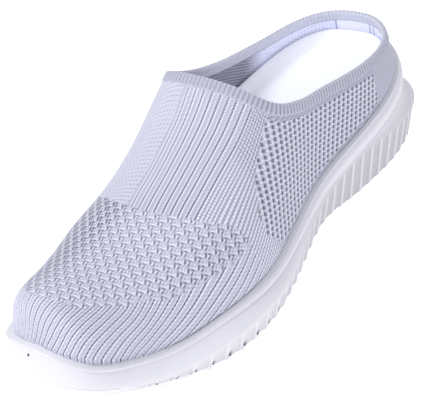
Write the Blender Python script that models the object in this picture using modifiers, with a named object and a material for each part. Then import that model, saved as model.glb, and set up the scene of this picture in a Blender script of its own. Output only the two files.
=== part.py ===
"""Slip-on knit sneaker, right shoe: upper, insole, midsole and outsole.

Units are metres. +Z is up, the toe points along -Y and the inner side of the foot lies towards +X. The
origin is on the floor, under the middle of the sole. Tables hold shares of the sizes named beside them, one
row for a station along the sole: along is 0 at the back of the heel and 1 at the tip of the toe.
"""
import math

import bmesh
import bpy
import numpy as np

# Driving sizes
SOLE_LENGTH = 0.262
BALL_WIDTH = 0.0965
HEEL_WIDTH = 0.0680
BAND_HEIGHT = 0.0200         # flared edge above the ground at its highest, on the inner heel
RAND_HEIGHT = 0.0460         # top of the rolled rand above the ground, at the back of the heel
RAND_LEAN = 0.0115           # rand's top inside the flared edge, at the back of the heel
RAND_WALL = 0.0036           # rim of the midsole's cup, at its top
ROLL_HEIGHT = 0.0090         # rolled rand from crease to top
ROLL_BULGE = 0.0016          # how far the roll stands out from the crease
CUP_DEPTH = 0.0100           # midsole's cup below the rand, at the back of the heel
INSOLE_THICKNESS = 0.0105    # moulded footbed at its thickest, under the arch
INSOLE_EDGE = 0.0014         # round of its top edge
INSOLE_RIM = 0.0045          # how far its edge turns up round the heel and the arch
INSOLE_PLAY = 0.0007         # round the insole's edge
TOE_SPRING = 0.0166          # lift of the sole's underside at the tip of the toe
ARCH_LIFT = 0.0030
HEEL_BEVEL = 0.0040          # lift of the underside at the back of the heel
BAND_TAPER = 0.0030          # underside's edge inside the flared edge
EDGE_ROUND = 0.0012          # bevel between the band and the underside
RIB_PITCH = 0.0078
RIB_DEPTH = 0.0009
GROOVE_WIDTH = 0.0022
GROOVE_DEPTH = 0.0024
THROAT_HEIGHT = 0.0808       # middle of the collar's front above the ground
COLLAR_HEIGHT = 0.0595       # collar above the ground, at the back of the heel
WALL = 0.0020                # knitted upper
BAND_WIDTH = 0.0046          # ribbed collar band
BAND_STEP = 0.0005           # how far the collar band stands out from the wall
GAP = 0.0003                 # between curved pieces that touch
FAN_REACH = 0.110            # length over which the upper's stations fan out at toe and heel
FAN_SHIFT = 0.044            # how far the first and the last of them look along the ridge
THROAT_REACH = 0.050         # length over which they turn back towards the collar's front
THROAT_SHIFT = 0.035         # how far they turn back
RIM_FADE = (0.40, 0.60)      # along, where the insole's rim runs out
RIB_FADE = (0.88, 0.97)      # along, where the band's ribs run out

# Plan of the flared edge. along: share of SOLE_LENGTH. inner, outer: shares of the width at that station.
PLAN = (
    # along, inner, outer
    (0.030, 0.235, -0.377),
    (0.100, 0.407, -0.536),
    (0.200, 0.477, -0.569),
    (0.310, 0.455, -0.549),
    (0.430, 0.419, -0.505),
    (0.550, 0.468, -0.497),
    (0.660, 0.525, -0.467),
    (0.760, 0.520, -0.452),
    (0.850, 0.452, -0.366),
    (0.925, 0.374, -0.266),
    (0.980, 0.286, -0.140),
)
HEEL_TIP = -0.020            # share of HEEL_WIDTH
TOE_TIP = 0.087              # share of BALL_WIDTH

# Grooves across the tread. from, to: along the sole. length: how far a groove runs across.
GROOVE_SPANS = (
    # from, to, length
    (0.53, 0.90, 1.20 * BALL_WIDTH),
    (0.07, 0.29, 0.62 * HEEL_WIDTH),
)

# Side of the sole. forefoot: share of the way from HEEL_WIDTH to BALL_WIDTH. flare: share of BAND_HEIGHT.
# rand: share of RAND_HEIGHT. lean: share of RAND_LEAN. hollow: 1 where the face below the roll is scooped out,
# 0 where it is full. roll: share of ROLL_HEIGHT and ROLL_BULGE. depth: share of CUP_DEPTH. thick: share of
# INSOLE_THICKNESS.
SIDE = (
    # along, forefoot, flare, rand, lean, hollow, roll, depth, thick
    (0.00, 0.00, 0.87, 1.00, 1.00, 1.00, 0.95, 1.00, 0.50),
    (0.12, 0.00, 0.86, 0.83, 0.33, 1.00, 1.00, 0.58, 0.90),
    (0.30, 0.15, 1.04, 0.66, -0.06, 1.00, 0.90, 0.54, 1.00),
    (0.45, 0.60, 0.84, 0.53, 0.00, 0.80, 0.70, 0.54, 0.70),
    (0.60, 1.00, 0.60, 0.405, 0.20, 0.20, 0.40, 0.57, 0.52),
    (0.75, 1.00, 0.52, 0.37, 0.38, 0.00, 0.20, 0.51, 0.42),
    (0.88, 1.00, 0.52, 0.41, 0.27, 0.00, 0.15, 0.64, 0.48),
    (1.00, 1.00, 1.09, 0.725, 0.20, 0.00, 0.15, 0.89, 0.42),
)

# Height of the vamp's ridge line. back: share of the foot line's length behind the tip of the toe. rise: share
# of the rise from the rand to the collar's front.
RIDGE = (
    # back, rise
    (0.000, 0.00),
    (0.020, 0.295),
    (0.060, 0.405),
    (0.130, 0.475),
    (0.220, 0.52),
    (0.320, 0.62),
    (0.420, 0.80),
    (0.560, 1.16),
    (0.840, 0.76),
    (1.000, 0.56),
)

# Roundness of the cross sections. wide and tall: powers of the section's curve across and up.
ROUND = (
    # along, wide, tall
    (0.00, 2.4, 2.0),
    (0.30, 2.6, 2.0),
    (0.55, 2.3, 2.0),
    (0.75, 2.3, 2.2),
    (1.00, 2.2, 2.2),
)

# Collar's height. inner, outer: shares of COLLAR_HEIGHT on either side of the foot, up to the throat.
COLLAR = (
    # along, inner, outer
    (0.00, 0.96, 0.96),
    (0.10, 0.94, 0.95),
    (0.25, 0.96, 0.94),
    (0.36, 1.02, 0.99),
    (0.44, 1.07, 1.10),
    (0.50, 1.18, 1.25),
    (0.56, 1.48, 1.46),
    (0.66, 1.62, 1.62),
)


def column(table, at, place, root=False):
    """One column of a table at any station, on a smooth curve through its rows."""
    keys = np.array([row[0] for row in table])
    values = np.array([row[place] for row in table])
    at = np.asarray(at, dtype=float)
    if root:
        keys, at = np.sqrt(keys), np.sqrt(np.clip(at, 0, None))
    steps = np.diff(keys)
    slopes = np.diff(values) / steps
    tangents = np.concatenate(([slopes[0]], (slopes[1:] * steps[:-1] + slopes[:-1] * steps[1:])
                               / (steps[:-1] + steps[1:]), [slopes[-1]]))
    at = np.clip(at, keys[0], keys[-1])
    spot = np.clip(np.searchsorted(keys, at, side="right") - 1, 0, len(steps) - 1)
    t = (at - keys[spot]) / steps[spot]
    return (values[spot] * (2 * t ** 3 - 3 * t ** 2 + 1)
            + tangents[spot] * steps[spot] * (t ** 3 - 2 * t ** 2 + t)
            + values[spot + 1] * (3 * t ** 2 - 2 * t ** 3)
            + tangents[spot + 1] * steps[spot] * (t ** 3 - t ** 2))


def width(along):
    """Width that PLAN's shares follow: the heel's behind, the ball's in front."""
    return HEEL_WIDTH + (BALL_WIDTH - HEEL_WIDTH) * column(SIDE, along, 1)


def plan_curve(steps=40):
    """Flared edge seen from above, from the heel by the inner side to the toe and back.

    Gives points and outward normals. A closed cubic spline runs through the rows of PLAN, with steps points
    for each row.
    """
    knots = [(HEEL_TIP * HEEL_WIDTH, 0.0)]
    knots += [(inner * width(along), along * SOLE_LENGTH) for along, inner, outer in PLAN]
    knots += [(TOE_TIP * BALL_WIDTH, SOLE_LENGTH)]
    knots += [(outer * width(along), along * SOLE_LENGTH) for along, inner, outer in reversed(PLAN)]
    knots = np.array(knots)
    count = len(knots)
    ahead = np.roll(knots, -1, axis=0) - knots
    span = np.sqrt(np.linalg.norm(ahead, axis=1))
    system = np.zeros((count, count))
    for i in range(count):
        system[i, i - 1] += span[i]
        system[i, i] += 2 * (span[i] + span[i - 1])
        system[i, (i + 1) % count] += span[i - 1]
    speed = ahead / span[:, None]
    wanted = 3 * (span[:, None] * np.roll(speed, 1, axis=0) + np.roll(span, 1)[:, None] * speed)
    tangent = np.linalg.solve(system, wanted)
    t = np.linspace(0, 1, steps, endpoint=False)[None, :, None]
    here, there = knots[:, None], np.roll(knots, -1, axis=0)[:, None]
    out = (tangent * span[:, None])[:, None]
    back = (np.roll(tangent, -1, axis=0) * span[:, None])[:, None]
    points = (here * (2 * t ** 3 - 3 * t ** 2 + 1) + out * (t ** 3 - 2 * t ** 2 + t)
              + there * (3 * t ** 2 - 2 * t ** 3) + back * (t ** 3 - t ** 2)).reshape(-1, 2)
    points[:, 0] -= (points[:, 0].max() + points[:, 0].min()) / 2
    points[:, 1] = SOLE_LENGTH / 2 - points[:, 1]
    ahead = np.roll(points, -1, axis=0) - np.roll(points, 1, axis=0)
    normals = np.stack((-ahead[:, 1], ahead[:, 0]), axis=1)
    return points, normals / np.linalg.norm(normals, axis=1)[:, None]


class Edge:
    """Stations on the flared edge on one side, from the back of the heel to the toe."""

    def __init__(self, shares, inner):
        points, normals = plan_curve()
        half = len(points) // 2
        order = np.arange(half + 1) if inner else -np.arange(half + 1)
        points, normals = points[order], normals[order]
        run = np.concatenate(([0], np.cumsum(np.linalg.norm(np.diff(points, axis=0), axis=1))))
        at = np.asarray(shares, dtype=float) * run[-1]
        self.point = np.stack([np.interp(at, run, points[:, k]) for k in (0, 1)], axis=1)
        normal = np.stack([np.interp(at, run, normals[:, k]) for k in (0, 1)], axis=1)
        self.normal = normal / np.linalg.norm(normal, axis=1)[:, None]
        self.along = np.clip(0.5 - self.point[:, 1] / SOLE_LENGTH, 0, 1)
        self.length = run[-1]

    def ring(self, inset, height):
        """Points inset from the flared edge. A rule for the height is read where each point lies."""
        flat = self.point - self.normal * np.broadcast_to(inset, self.along.shape)[:, None]
        if callable(height):
            height = height(np.clip(0.5 - flat[:, 1] / SOLE_LENGTH, 0, 1))
        return np.column_stack((flat, np.broadcast_to(height, self.along.shape)))


def flare_height(along):
    return BAND_HEIGHT * column(SIDE, along, 2)


def rand_height(along):
    return RAND_HEIGHT * column(SIDE, along, 3)


def rand_lean(along):
    return RAND_LEAN * column(SIDE, along, 4)


def floor_height(along):
    """Floor of the midsole's cup, under the insole."""
    return rand_height(along) - CUP_DEPTH * column(SIDE, along, 7)


def footbed_height(along):
    """Top of the insole."""
    return floor_height(along) + GAP + INSOLE_THICKNESS * column(SIDE, along, 8)


def cup_inset(along):
    """Inner face of the midsole's rim."""
    return rand_lean(along) + RAND_WALL


def rise(value, start, end):
    """0 before start, 1 after end, smooth between."""
    t = np.clip((np.asarray(value, dtype=float) - start) / (end - start), 0, 1)
    return t * t * (3 - 2 * t)


def underside_height(along):
    """Flat at heel and forefoot, lifted at the bevel, the arch and the toe spring."""
    bevel = HEEL_BEVEL * np.clip(1 - along / 0.07, 0, 1) ** 2
    arch = ARCH_LIFT * rise(along, 0.30, 0.42) * (1 - rise(along, 0.42, 0.54))
    spring = TOE_SPRING * np.clip((along - 0.74) / 0.26, 0, 1) ** 1.8
    return bevel + arch + spring


def sole_face(along):
    """Outside of the midsole from the flared edge up and over the rim: pairs of inset and height."""
    flare, rand, lean = flare_height(along), rand_height(along), rand_lean(along)
    hollow, roll = column(SIDE, along, 5), column(SIDE, along, 6)
    crease = rand - ROLL_HEIGHT * roll
    deep = lean + ROLL_BULGE * roll
    rows = []
    for share in (0.0, 0.08, 0.25, 0.50, 0.75, 1.0):
        scooped, full = 1 - (1 - share) ** 2.2, share ** 2
        rows.append((deep * (hollow * scooped + (1 - hollow) * full), flare + (crease - flare) * share))
    for share in (0.22, 0.48, 0.74, 0.94):
        out = ROLL_BULGE * roll * 1.35 * math.sin(math.pi * share) ** 0.8
        rows.append((deep - out, crease + (rand - crease) * share))
    rows.append((lean + 0.3 * RAND_WALL, rand))
    rows.append((cup_inset(along), rand - 0.25 * RAND_WALL))
    return rows


class Last:
    """Form of the upper: heights over the plan, from the rand's line, the ridge line and the sections."""

    def __init__(self):
        shares = np.linspace(0, 1, 400)
        self.inner, self.outer = (self.foot_line(shares, inner) for inner in (True, False))
        self.back, self.front = self.inner[0, 1], self.inner[-1, 1]
        self.throat = self.meet_ridge(0)
        self.band_front = self.meet_ridge(BAND_WIDTH + BAND_STEP)

    @staticmethod
    def foot_line(shares, inner):
        """Outside of the upper where it leaves the midsole's cup."""
        edge = Edge(shares, inner)
        return edge.ring(cup_inset(edge.along) + GAP, rand_height(edge.along) - 0.25 * RAND_WALL)

    @staticmethod
    def along(y):
        return np.clip(0.5 - np.asarray(y) / SOLE_LENGTH, 0, 1)

    def sides(self, y):
        """Inner and outer edge of the foot line at a station y."""
        return [np.interp(-y, -line[:, 1], line[:, 0]) for line in (self.inner, self.outer)]

    def floor(self, y):
        return (np.interp(-y, -self.inner[:, 1], self.inner[:, 2])
                + np.interp(-y, -self.outer[:, 1], self.outer[:, 2])) / 2

    def ridge(self, y):
        """Height of the ridge line, which runs on as a form over the opening."""
        back = (np.asarray(y) - self.front) / (self.back - self.front)
        start = rand_height(0.55)
        return self.floor(y) + (THROAT_HEIGHT - start) * column(RIDGE, back, 1, root=True) * self.closing(back)

    def middle(self, along):
        """Middle of the foot across a station."""
        return float(sum(self.sides((0.5 - along) * SOLE_LENGTH))) / 2

    @staticmethod
    def closing(back):
        """Closes the form at the back of the heel as a round end."""
        return np.sqrt(np.clip(1 - np.clip((back - 0.84) / 0.16, 0, 1) ** 2.4, 0, 1))

    def height(self, x, y):
        inner, outer = self.sides(y)
        middle, half = (inner + outer) / 2, np.maximum((inner - outer) / 2, 1e-6)
        along = self.along(y)
        across = np.clip(np.abs(x - middle) / half, 0, 1)
        section = (1 - across ** column(ROUND, along, 1)) ** (1 / column(ROUND, along, 2))
        low = self.floor(y)
        return low + (self.ridge(y) - low) * section

    def collar(self, x, y):
        """Height at which the collar cuts the form."""
        inner, outer = self.sides(y)
        half = np.maximum((inner - outer) / 2, 1e-6)
        toward = np.clip((x - (inner + outer) / 2) / half, -1, 1) / 2 + 0.5
        along = self.along(y)
        return COLLAR_HEIGHT * (toward * column(COLLAR, along, 1) + (1 - toward) * column(COLLAR, along, 2))

    def lean(self, along, height):
        """How far the form has come in from the foot line at a height."""
        y = (0.5 - along) * SOLE_LENGTH
        inner, outer = self.sides(y)
        low = self.floor(y)
        share = np.clip((height - low) / np.maximum(self.ridge(y) - low, WALL), 0, 0.9)
        across = (1 - share ** column(ROUND, along, 2)) ** (1 / column(ROUND, along, 1))
        return (inner - outer) / 2 * (1 - across)

    def meet_ridge(self, distance):
        """Station of the ridge line at a distance ahead of the collar's edge."""
        y = np.linspace(self.front + 0.2 * SOLE_LENGTH, self.back - 0.35 * SOLE_LENGTH, 4000)
        left = self.way_to_collar(sum(self.sides(y)) / 2, y)[0] - distance
        k = np.argmax(left < 0)
        return y[k - 1] + (y[k] - y[k - 1]) * left[k - 1] / (left[k - 1] - left[k])

    def slopes(self, x, y):
        """Slopes of the form and of the collar's height across and along the foot."""
        step = 1e-5
        form = np.stack(((self.height(x + step, y) - self.height(x - step, y)) / (2 * step),
                         (self.height(x, y + step) - self.height(x, y - step)) / (2 * step)))
        collar = np.stack(((self.collar(x + step, y) - self.collar(x - step, y)) / (2 * step),
                           (self.collar(x, y + step) - self.collar(x, y - step)) / (2 * step)))
        return form, collar

    def way_to_collar(self, x, y):
        """Distance to the collar's edge along the form, and the way there as a step over the plan."""
        form, collar = self.slopes(x, y)
        fall = collar - form
        along_form = (form * fall).sum(axis=0) / (1 + (form ** 2).sum(axis=0))
        way = fall - form * along_form
        steepness = np.sqrt(np.maximum((fall * way).sum(axis=0), 1e-12))
        distance = (self.collar(x, y) - self.height(x, y)) / steepness
        return distance, -way / steepness

    def normal(self, x, y):
        form = self.slopes(x, y)[0]
        outward = np.stack((-form[0], -form[1], np.ones_like(form[0])), axis=-1)
        return outward / np.linalg.norm(outward, axis=-1)[..., None]


def aim(last, y):
    """Where on the ridge a station of the foot line looks: fanned at the ends, turned back at the throat."""
    front = FAN_SHIFT * np.clip(1 - (y - last.front) / FAN_REACH, 0, 1) ** 2
    back = FAN_SHIFT * np.clip(1 - (last.back - y) / FAN_REACH, 0, 1) ** 2
    turned = last.band_front + 0.1 * THROAT_REACH
    turn = THROAT_SHIFT * rise(y, turned - THROAT_REACH, turned)
    return y + front - back + turn * rise(last.back - y, 0, FAN_REACH)


def stations(last, ahead, behind):
    """Shares of the flared edge for the upper's stations, from the toe to the heel, one at the band's front."""
    shares = np.linspace(0, 1, len(last.inner))
    looks = aim(last, (last.inner[:, 1] + last.outer[:, 1]) / 2)
    meeting = np.interp(-last.band_front, -looks, shares)
    away = np.linspace(0, 1, behind + 1)[1:] ** 1.15
    return np.concatenate((np.linspace(1, meeting, ahead + 1), meeting * (1 - away)))


def upper_form(last, ahead, behind, body_rows, band_rows, samples=240):
    """Outside of the upper, for each side as two grids.

    The body's grid holds stations by rows, from the cup to the ridge or the band. The band's grid holds its
    stations by rows out to the collar's edge.
    """
    shares = stations(last, ahead, behind)
    pairs = [Edge(shares, inner) for inner in (True, False)]
    lines = [last.foot_line(shares, inner) for inner in (True, False)]
    aim_y = aim(last, (lines[0][:, 1] + lines[1][:, 1]) / 2)
    goal = np.stack((sum(last.sides(aim_y)) / 2, aim_y), axis=1)
    spread = 1 - np.cos(np.linspace(0, math.pi / 2, samples)) ** 0.85
    grids = []
    for edge, line in zip(pairs, lines):
        flat = line[:, None, :2] + (goal - line[:, :2])[:, None] * spread[None, :, None]
        path = np.dstack((flat, last.height(flat[..., 0], flat[..., 1])))
        path[:, 0, 2] = line[:, 2]
        left = last.way_to_collar(flat[..., 0], flat[..., 1])[0] - BAND_WIDTH - BAND_STEP
        low = edge.ring(cup_inset(edge.along) + GAP, lambda along: floor_height(along) + GAP)
        body = []
        for i in range(ahead + behind + 1):
            run = np.concatenate(([0], np.cumsum(np.linalg.norm(np.diff(path[i], axis=0), axis=1))))
            end = run[-1]
            past = np.nonzero((left[i] < 0) & (path[i, :, 2] > line[i, 2] + WALL))[0]
            if i > ahead and len(past):
                k = past[0]
                share = left[i, k - 1] / (left[i, k - 1] - left[i, k])
                end = run[k - 1] + (run[k] - run[k - 1]) * share
            at = end * np.linspace(0, 1, body_rows + 1)
            rows = np.stack([np.interp(at, run, path[i, :, k]) for k in range(3)], axis=1)
            body.append(np.vstack((low[i], rows)))
        body = np.array(body)
        x, y = body[ahead:, -1, 0], body[ahead:, -1, 1]
        band = []
        distances = [BAND_WIDTH * (1 - k / band_rows) for k in range(band_rows + 1)]
        for wanted in distances:
            for _ in range(3):
                distance, way = last.way_to_collar(x, y)
                x, y = x + way[0] * (distance - wanted), y + way[1] * (distance - wanted)
            outside = np.stack((x, y, last.height(x, y)), axis=1) + last.normal(x, y) * BAND_STEP
            band.append(outside)
        grids.append((body, np.array(band).transpose(1, 0, 2)))
    return grids


# Building the pieces
UPPER_AHEAD, UPPER_BEHIND, UPPER_ROWS = 16, 22, 11
SOLE_STATIONS = 46
RIB_PROFILE = ((0.00, 0.0), (0.30, 0.0), (0.42, 1.0), (0.90, 0.6))   # share of a pitch, share of RIB_DEPTH


def material(name, colour, roughness):
    mat = bpy.data.materials.new(name)
    mat.use_nodes = True
    shader = mat.node_tree.nodes["Principled BSDF"]
    shader.inputs["Base Color"].default_value = (*colour, 1.0)
    shader.inputs["Roughness"].default_value = roughness
    shader.inputs["Metallic"].default_value = 0.0
    return mat


def add_object(name, points, faces, mat, collection):
    """An object from points and faces, with points that coincide joined."""
    mesh = bpy.data.meshes.new(name)
    mesh.from_pydata([tuple(point) for point in points], [], faces)
    form = bmesh.new()
    form.from_mesh(mesh)
    bmesh.ops.remove_doubles(form, verts=form.verts, dist=1e-5)
    form.to_mesh(mesh)
    form.free()
    mesh.validate()
    mesh.shade_smooth()
    mesh.set_sharp_from_angle(angle=math.radians(35))
    mesh.materials.append(mat)
    obj = bpy.data.objects.new(name, mesh)
    collection.objects.link(obj)
    return obj


def closed_loft(rings):
    """Points and faces of a closed solid through rings, each an inner and an outer side from heel to toe.

    The first ring's face looks down or in, the last ring's face closes the solid at the other end.
    """
    last = len(rings[0][0]) - 1
    count = 2 * last
    points = np.vstack([np.vstack((inner, outer[last - 1:0:-1])) for inner, outer in rings])
    faces = []
    for k in range(len(rings) - 1):
        for i in range(count):
            j = (i + 1) % count
            faces.append((k * count + i, (k + 1) * count + i, (k + 1) * count + j, k * count + j))
    for base, upward in ((0, False), ((len(rings) - 1) * count, True)):
        for i in range(last):
            near = [i, i + 1, count - i - 1, (count - i) % count]
            face = [base + corner for corner in dict.fromkeys(near)]
            faces.append(tuple(reversed(face) if upward else face))
    return points, faces


def both_sides(shares, inset_and_height):
    """One ring: the same rule for inset and height read on the inner and on the outer side."""
    sides = []
    for inner in (True, False):
        edge = Edge(shares, inner)
        inset, height = inset_and_height(edge.along)
        sides.append(edge.ring(inset, height))
    return sides


def even_shares(count):
    return np.linspace(0, 1, count + 1)


def make_midsole(collection):
    """Foam unit: joint face, flared edge, scooped face, rolled rand, rim and the cup's floor."""
    shares = even_shares(SOLE_STATIONS)
    rings = []
    for k in range(len(sole_face(np.zeros(1)))):
        rings.append(both_sides(shares, lambda along, k=k: sole_face(along)[k]))
    rings.append(both_sides(shares, lambda along: (cup_inset(along), floor_height)))
    foam = material("midsole foam", (0.87, 0.87, 0.89), 0.45)
    return add_object("midsole", *closed_loft(rings), foam, collection)


def make_insole(collection):
    """Sockliner inside the upper's wall, its rounded edge turned up round the heel and the arch."""
    shares = even_shares(SOLE_STATIONS)
    soft = INSOLE_EDGE
    last = Last()

    def rim_height(along, share=1.0):
        return footbed_height(along) + share * INSOLE_RIM * (1 - rise(along, *RIM_FADE))

    def inset(along, more=0.0):
        """Inside the upper's wall, which leans in as it rises."""
        return cup_inset(along) + GAP + WALL + INSOLE_PLAY + last.lean(along, rim_height(along)) + more

    rules = (
        lambda along: (inset(along), lambda at: floor_height(at) + GAP),
        lambda along: (inset(along), lambda at: rim_height(at) - soft),
        lambda along: (inset(along, 0.8 * soft), rim_height),
        lambda along: (inset(along, 2.0 * soft), lambda at: rim_height(at, 0.7)),
        lambda along: (inset(along, 5.0 * soft), lambda at: rim_height(at, 0.0)),
    )
    rings = [both_sides(shares, rule) for rule in rules]
    foam = material("insole foam", (0.90, 0.90, 0.92), 0.7)
    return add_object("insole", *closed_loft(rings), foam, collection)


def rib_shares():
    """Stations of the ribbed band and the depth of its flutes at each, as a share of RIB_DEPTH."""
    count = round(Edge([0.0, 1.0], True).length / RIB_PITCH)
    shares = [(rib + phase) / count for rib in range(count) for phase, depth in RIB_PROFILE] + [1.0]
    depths = [depth for rib in range(count) for phase, depth in RIB_PROFILE] + [0.0]
    return np.array(shares), np.array(depths)


def make_outsole(collection, cutters):
    """Ribbed band and tread, with grooves across the forefoot and pockets under the heel."""
    shares, depths = rib_shares()

    def flute(along):
        return RIB_DEPTH * depths * (1 - rise(along, *RIB_FADE))

    rules = (
        lambda along: (BAND_TAPER + EDGE_ROUND, underside_height(along)),
        lambda along: (BAND_TAPER + flute(along), underside_height(along) + EDGE_ROUND),
        lambda along: (GAP + flute(along), lambda at: flare_height(at) - GAP),
    )
    rings = [both_sides(shares, rule) for rule in rules]
    outsole = add_object("outsole", *closed_loft(rings), material("outsole rubber", (0.78, 0.77, 0.80), 0.5),
                         collection)
    tool = add_grooves(cutters)
    cut = outsole.modifiers.new("grooves", "BOOLEAN")
    cut.operation = "DIFFERENCE"
    cut.solver = "EXACT"
    cut.object = tool
    return outsole


def add_grooves(cutters):
    """Bars that cut the tread: whole width at the forefoot, short of the sides at the heel."""
    form = bmesh.new()
    last = Last()
    for start, end, length in GROOVE_SPANS:
        count = int((end - start) * SOLE_LENGTH / RIB_PITCH) + 1
        for k in range(count):
            along = start + k * RIB_PITCH / SOLE_LENGTH
            middle = last.middle(along)
            top = float(underside_height(np.array([along]))[0]) + GROOVE_DEPTH
            size = (length, GROOVE_WIDTH, 4 * GROOVE_DEPTH)
            bar = bmesh.ops.create_cube(form, size=1.0)["verts"]
            bmesh.ops.scale(form, verts=bar, vec=size)
            bmesh.ops.translate(form, verts=bar, vec=(middle, (0.5 - along) * SOLE_LENGTH, top - size[2] / 2))
    mesh = bpy.data.meshes.new("grooves")
    form.to_mesh(mesh)
    form.free()
    tool = bpy.data.objects.new("grooves", mesh)
    tool.hide_render = True
    tool.display_type = "WIRE"
    cutters.objects.link(tool)
    return tool


def make_upper(collection):
    """Knitted upper: the outside as an open surface, thickened inwards to a wall."""
    points, faces = [], []

    def add_grid(grid, turned):
        start, (across, down) = len(points), grid.shape[:2]
        points.extend(grid.reshape(-1, 3))
        for i in range(across - 1):
            for k in range(down - 1):
                near = start + i * down + k
                face = (near, near + down, near + down + 1, near + 1)
                faces.append(face[::-1] if turned else face)

    grids = upper_form(Last(), UPPER_AHEAD, UPPER_BEHIND, UPPER_ROWS, 1)
    for turned, (body, band) in zip((False, True), grids):
        add_grid(body, turned)
        joint = np.stack((body[UPPER_AHEAD:, -1], band[:, 0]), axis=1)
        add_grid(np.concatenate((joint[:, :1], band), axis=1), turned)
    upper = add_object("upper", points, faces, material("knit", (0.50, 0.51, 0.60), 0.9), collection)
    wall = upper.modifiers.new("wall", "SOLIDIFY")
    wall.thickness = WALL
    wall.offset = -1.0
    wall.use_even_offset = True
    wall.use_quality_normals = True
    return upper


def main():
    for obj in list(bpy.data.objects):
        bpy.data.objects.remove(obj, do_unlink=True)
    shoe = bpy.data.collections.new("slip_on_sneaker")
    cutters = bpy.data.collections.new("cutters")
    for collection in (shoe, cutters):
        bpy.context.scene.collection.children.link(collection)
    make_outsole(shoe, cutters)
    make_midsole(shoe)
    make_insole(shoe)
    make_upper(shoe)


main()
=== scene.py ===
import math

import bmesh
import bpy
import numpy as np
from mathutils import Matrix, Vector


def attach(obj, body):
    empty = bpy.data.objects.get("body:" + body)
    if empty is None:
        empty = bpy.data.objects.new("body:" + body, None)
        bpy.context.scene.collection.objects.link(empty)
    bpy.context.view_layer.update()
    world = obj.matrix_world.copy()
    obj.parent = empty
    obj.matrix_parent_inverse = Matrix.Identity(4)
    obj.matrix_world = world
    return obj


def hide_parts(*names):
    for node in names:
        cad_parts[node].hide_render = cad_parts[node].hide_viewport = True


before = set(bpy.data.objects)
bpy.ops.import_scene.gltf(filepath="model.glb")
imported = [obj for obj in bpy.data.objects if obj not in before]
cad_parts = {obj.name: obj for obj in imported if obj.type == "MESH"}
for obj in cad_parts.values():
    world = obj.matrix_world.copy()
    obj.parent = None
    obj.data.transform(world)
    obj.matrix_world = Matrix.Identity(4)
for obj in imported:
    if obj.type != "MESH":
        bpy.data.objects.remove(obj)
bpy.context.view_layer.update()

# Slip-on knit sneaker, right shoe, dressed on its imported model. Metres, +Z up, toe along -Y, inner side
# towards +X. Tables hold shares of the sizes named beside them, one row for a station along the sole.

# Driving sizes
SOLE_LENGTH = 0.262
BALL_WIDTH = 0.0965
HEEL_WIDTH = 0.0680
BAND_HEIGHT = 0.0200         # flared edge above the ground at its highest, on the inner heel
RAND_HEIGHT = 0.0460         # top of the rolled rand above the ground, at the back of the heel
RAND_LEAN = 0.0115           # rand's top inside the flared edge, at the back of the heel
RAND_WALL = 0.0036           # rim of the midsole's cup, at its top
ROLL_HEIGHT = 0.0090         # rolled rand from crease to top
ROLL_BULGE = 0.0016          # how far the roll stands out from the crease
CUP_DEPTH = 0.0100           # midsole's cup below the rand, at the back of the heel
INSOLE_THICKNESS = 0.0105    # moulded footbed at its thickest, under the arch
INSOLE_EDGE = 0.0014         # round of its top edge
INSOLE_RIM = 0.0045          # how far its edge turns up round the heel and the arch
INSOLE_PLAY = 0.0007         # round the insole's edge
TOE_SPRING = 0.0166          # lift of the sole's underside at the tip of the toe
ARCH_LIFT = 0.0030
HEEL_BEVEL = 0.0040          # lift of the underside at the back of the heel
BAND_TAPER = 0.0030          # underside's edge inside the flared edge
EDGE_ROUND = 0.0012          # bevel between the band and the underside
RIB_PITCH = 0.0078
RIB_DEPTH = 0.0009
GROOVE_WIDTH = 0.0022
GROOVE_DEPTH = 0.0024
THROAT_HEIGHT = 0.0808       # middle of the collar's front above the ground
COLLAR_HEIGHT = 0.0595       # collar above the ground, at the back of the heel
WALL = 0.0020                # knitted upper
BAND_WIDTH = 0.0046          # ribbed collar band
BAND_STEP = 0.0005           # how far the collar band stands out from the wall
GAP = 0.0003                 # between curved pieces that touch
FAN_REACH = 0.110            # length over which the upper's stations fan out at toe and heel
FAN_SHIFT = 0.044            # how far the first and the last of them look along the ridge
THROAT_REACH = 0.050         # length over which they turn back towards the collar's front
THROAT_SHIFT = 0.035         # how far they turn back
RIM_FADE = (0.40, 0.60)      # along, where the insole's rim runs out
RIB_FADE = (0.88, 0.97)      # along, where the band's ribs run out

# Plan of the flared edge. along: share of SOLE_LENGTH. inner, outer: shares of the width at that station.
PLAN = (
    # along, inner, outer
    (0.030, 0.235, -0.377),
    (0.100, 0.407, -0.536),
    (0.200, 0.477, -0.569),
    (0.310, 0.455, -0.549),
    (0.430, 0.419, -0.505),
    (0.550, 0.468, -0.497),
    (0.660, 0.525, -0.467),
    (0.760, 0.520, -0.452),
    (0.850, 0.452, -0.366),
    (0.925, 0.374, -0.266),
    (0.980, 0.286, -0.140),
)
HEEL_TIP = -0.020            # share of HEEL_WIDTH
TOE_TIP = 0.087              # share of BALL_WIDTH

# Grooves across the tread. from, to: along the sole. length: how far a groove runs across.
GROOVE_SPANS = (
    # from, to, length
    (0.53, 0.90, 1.20 * BALL_WIDTH),
    (0.07, 0.29, 0.62 * HEEL_WIDTH),
)

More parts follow.
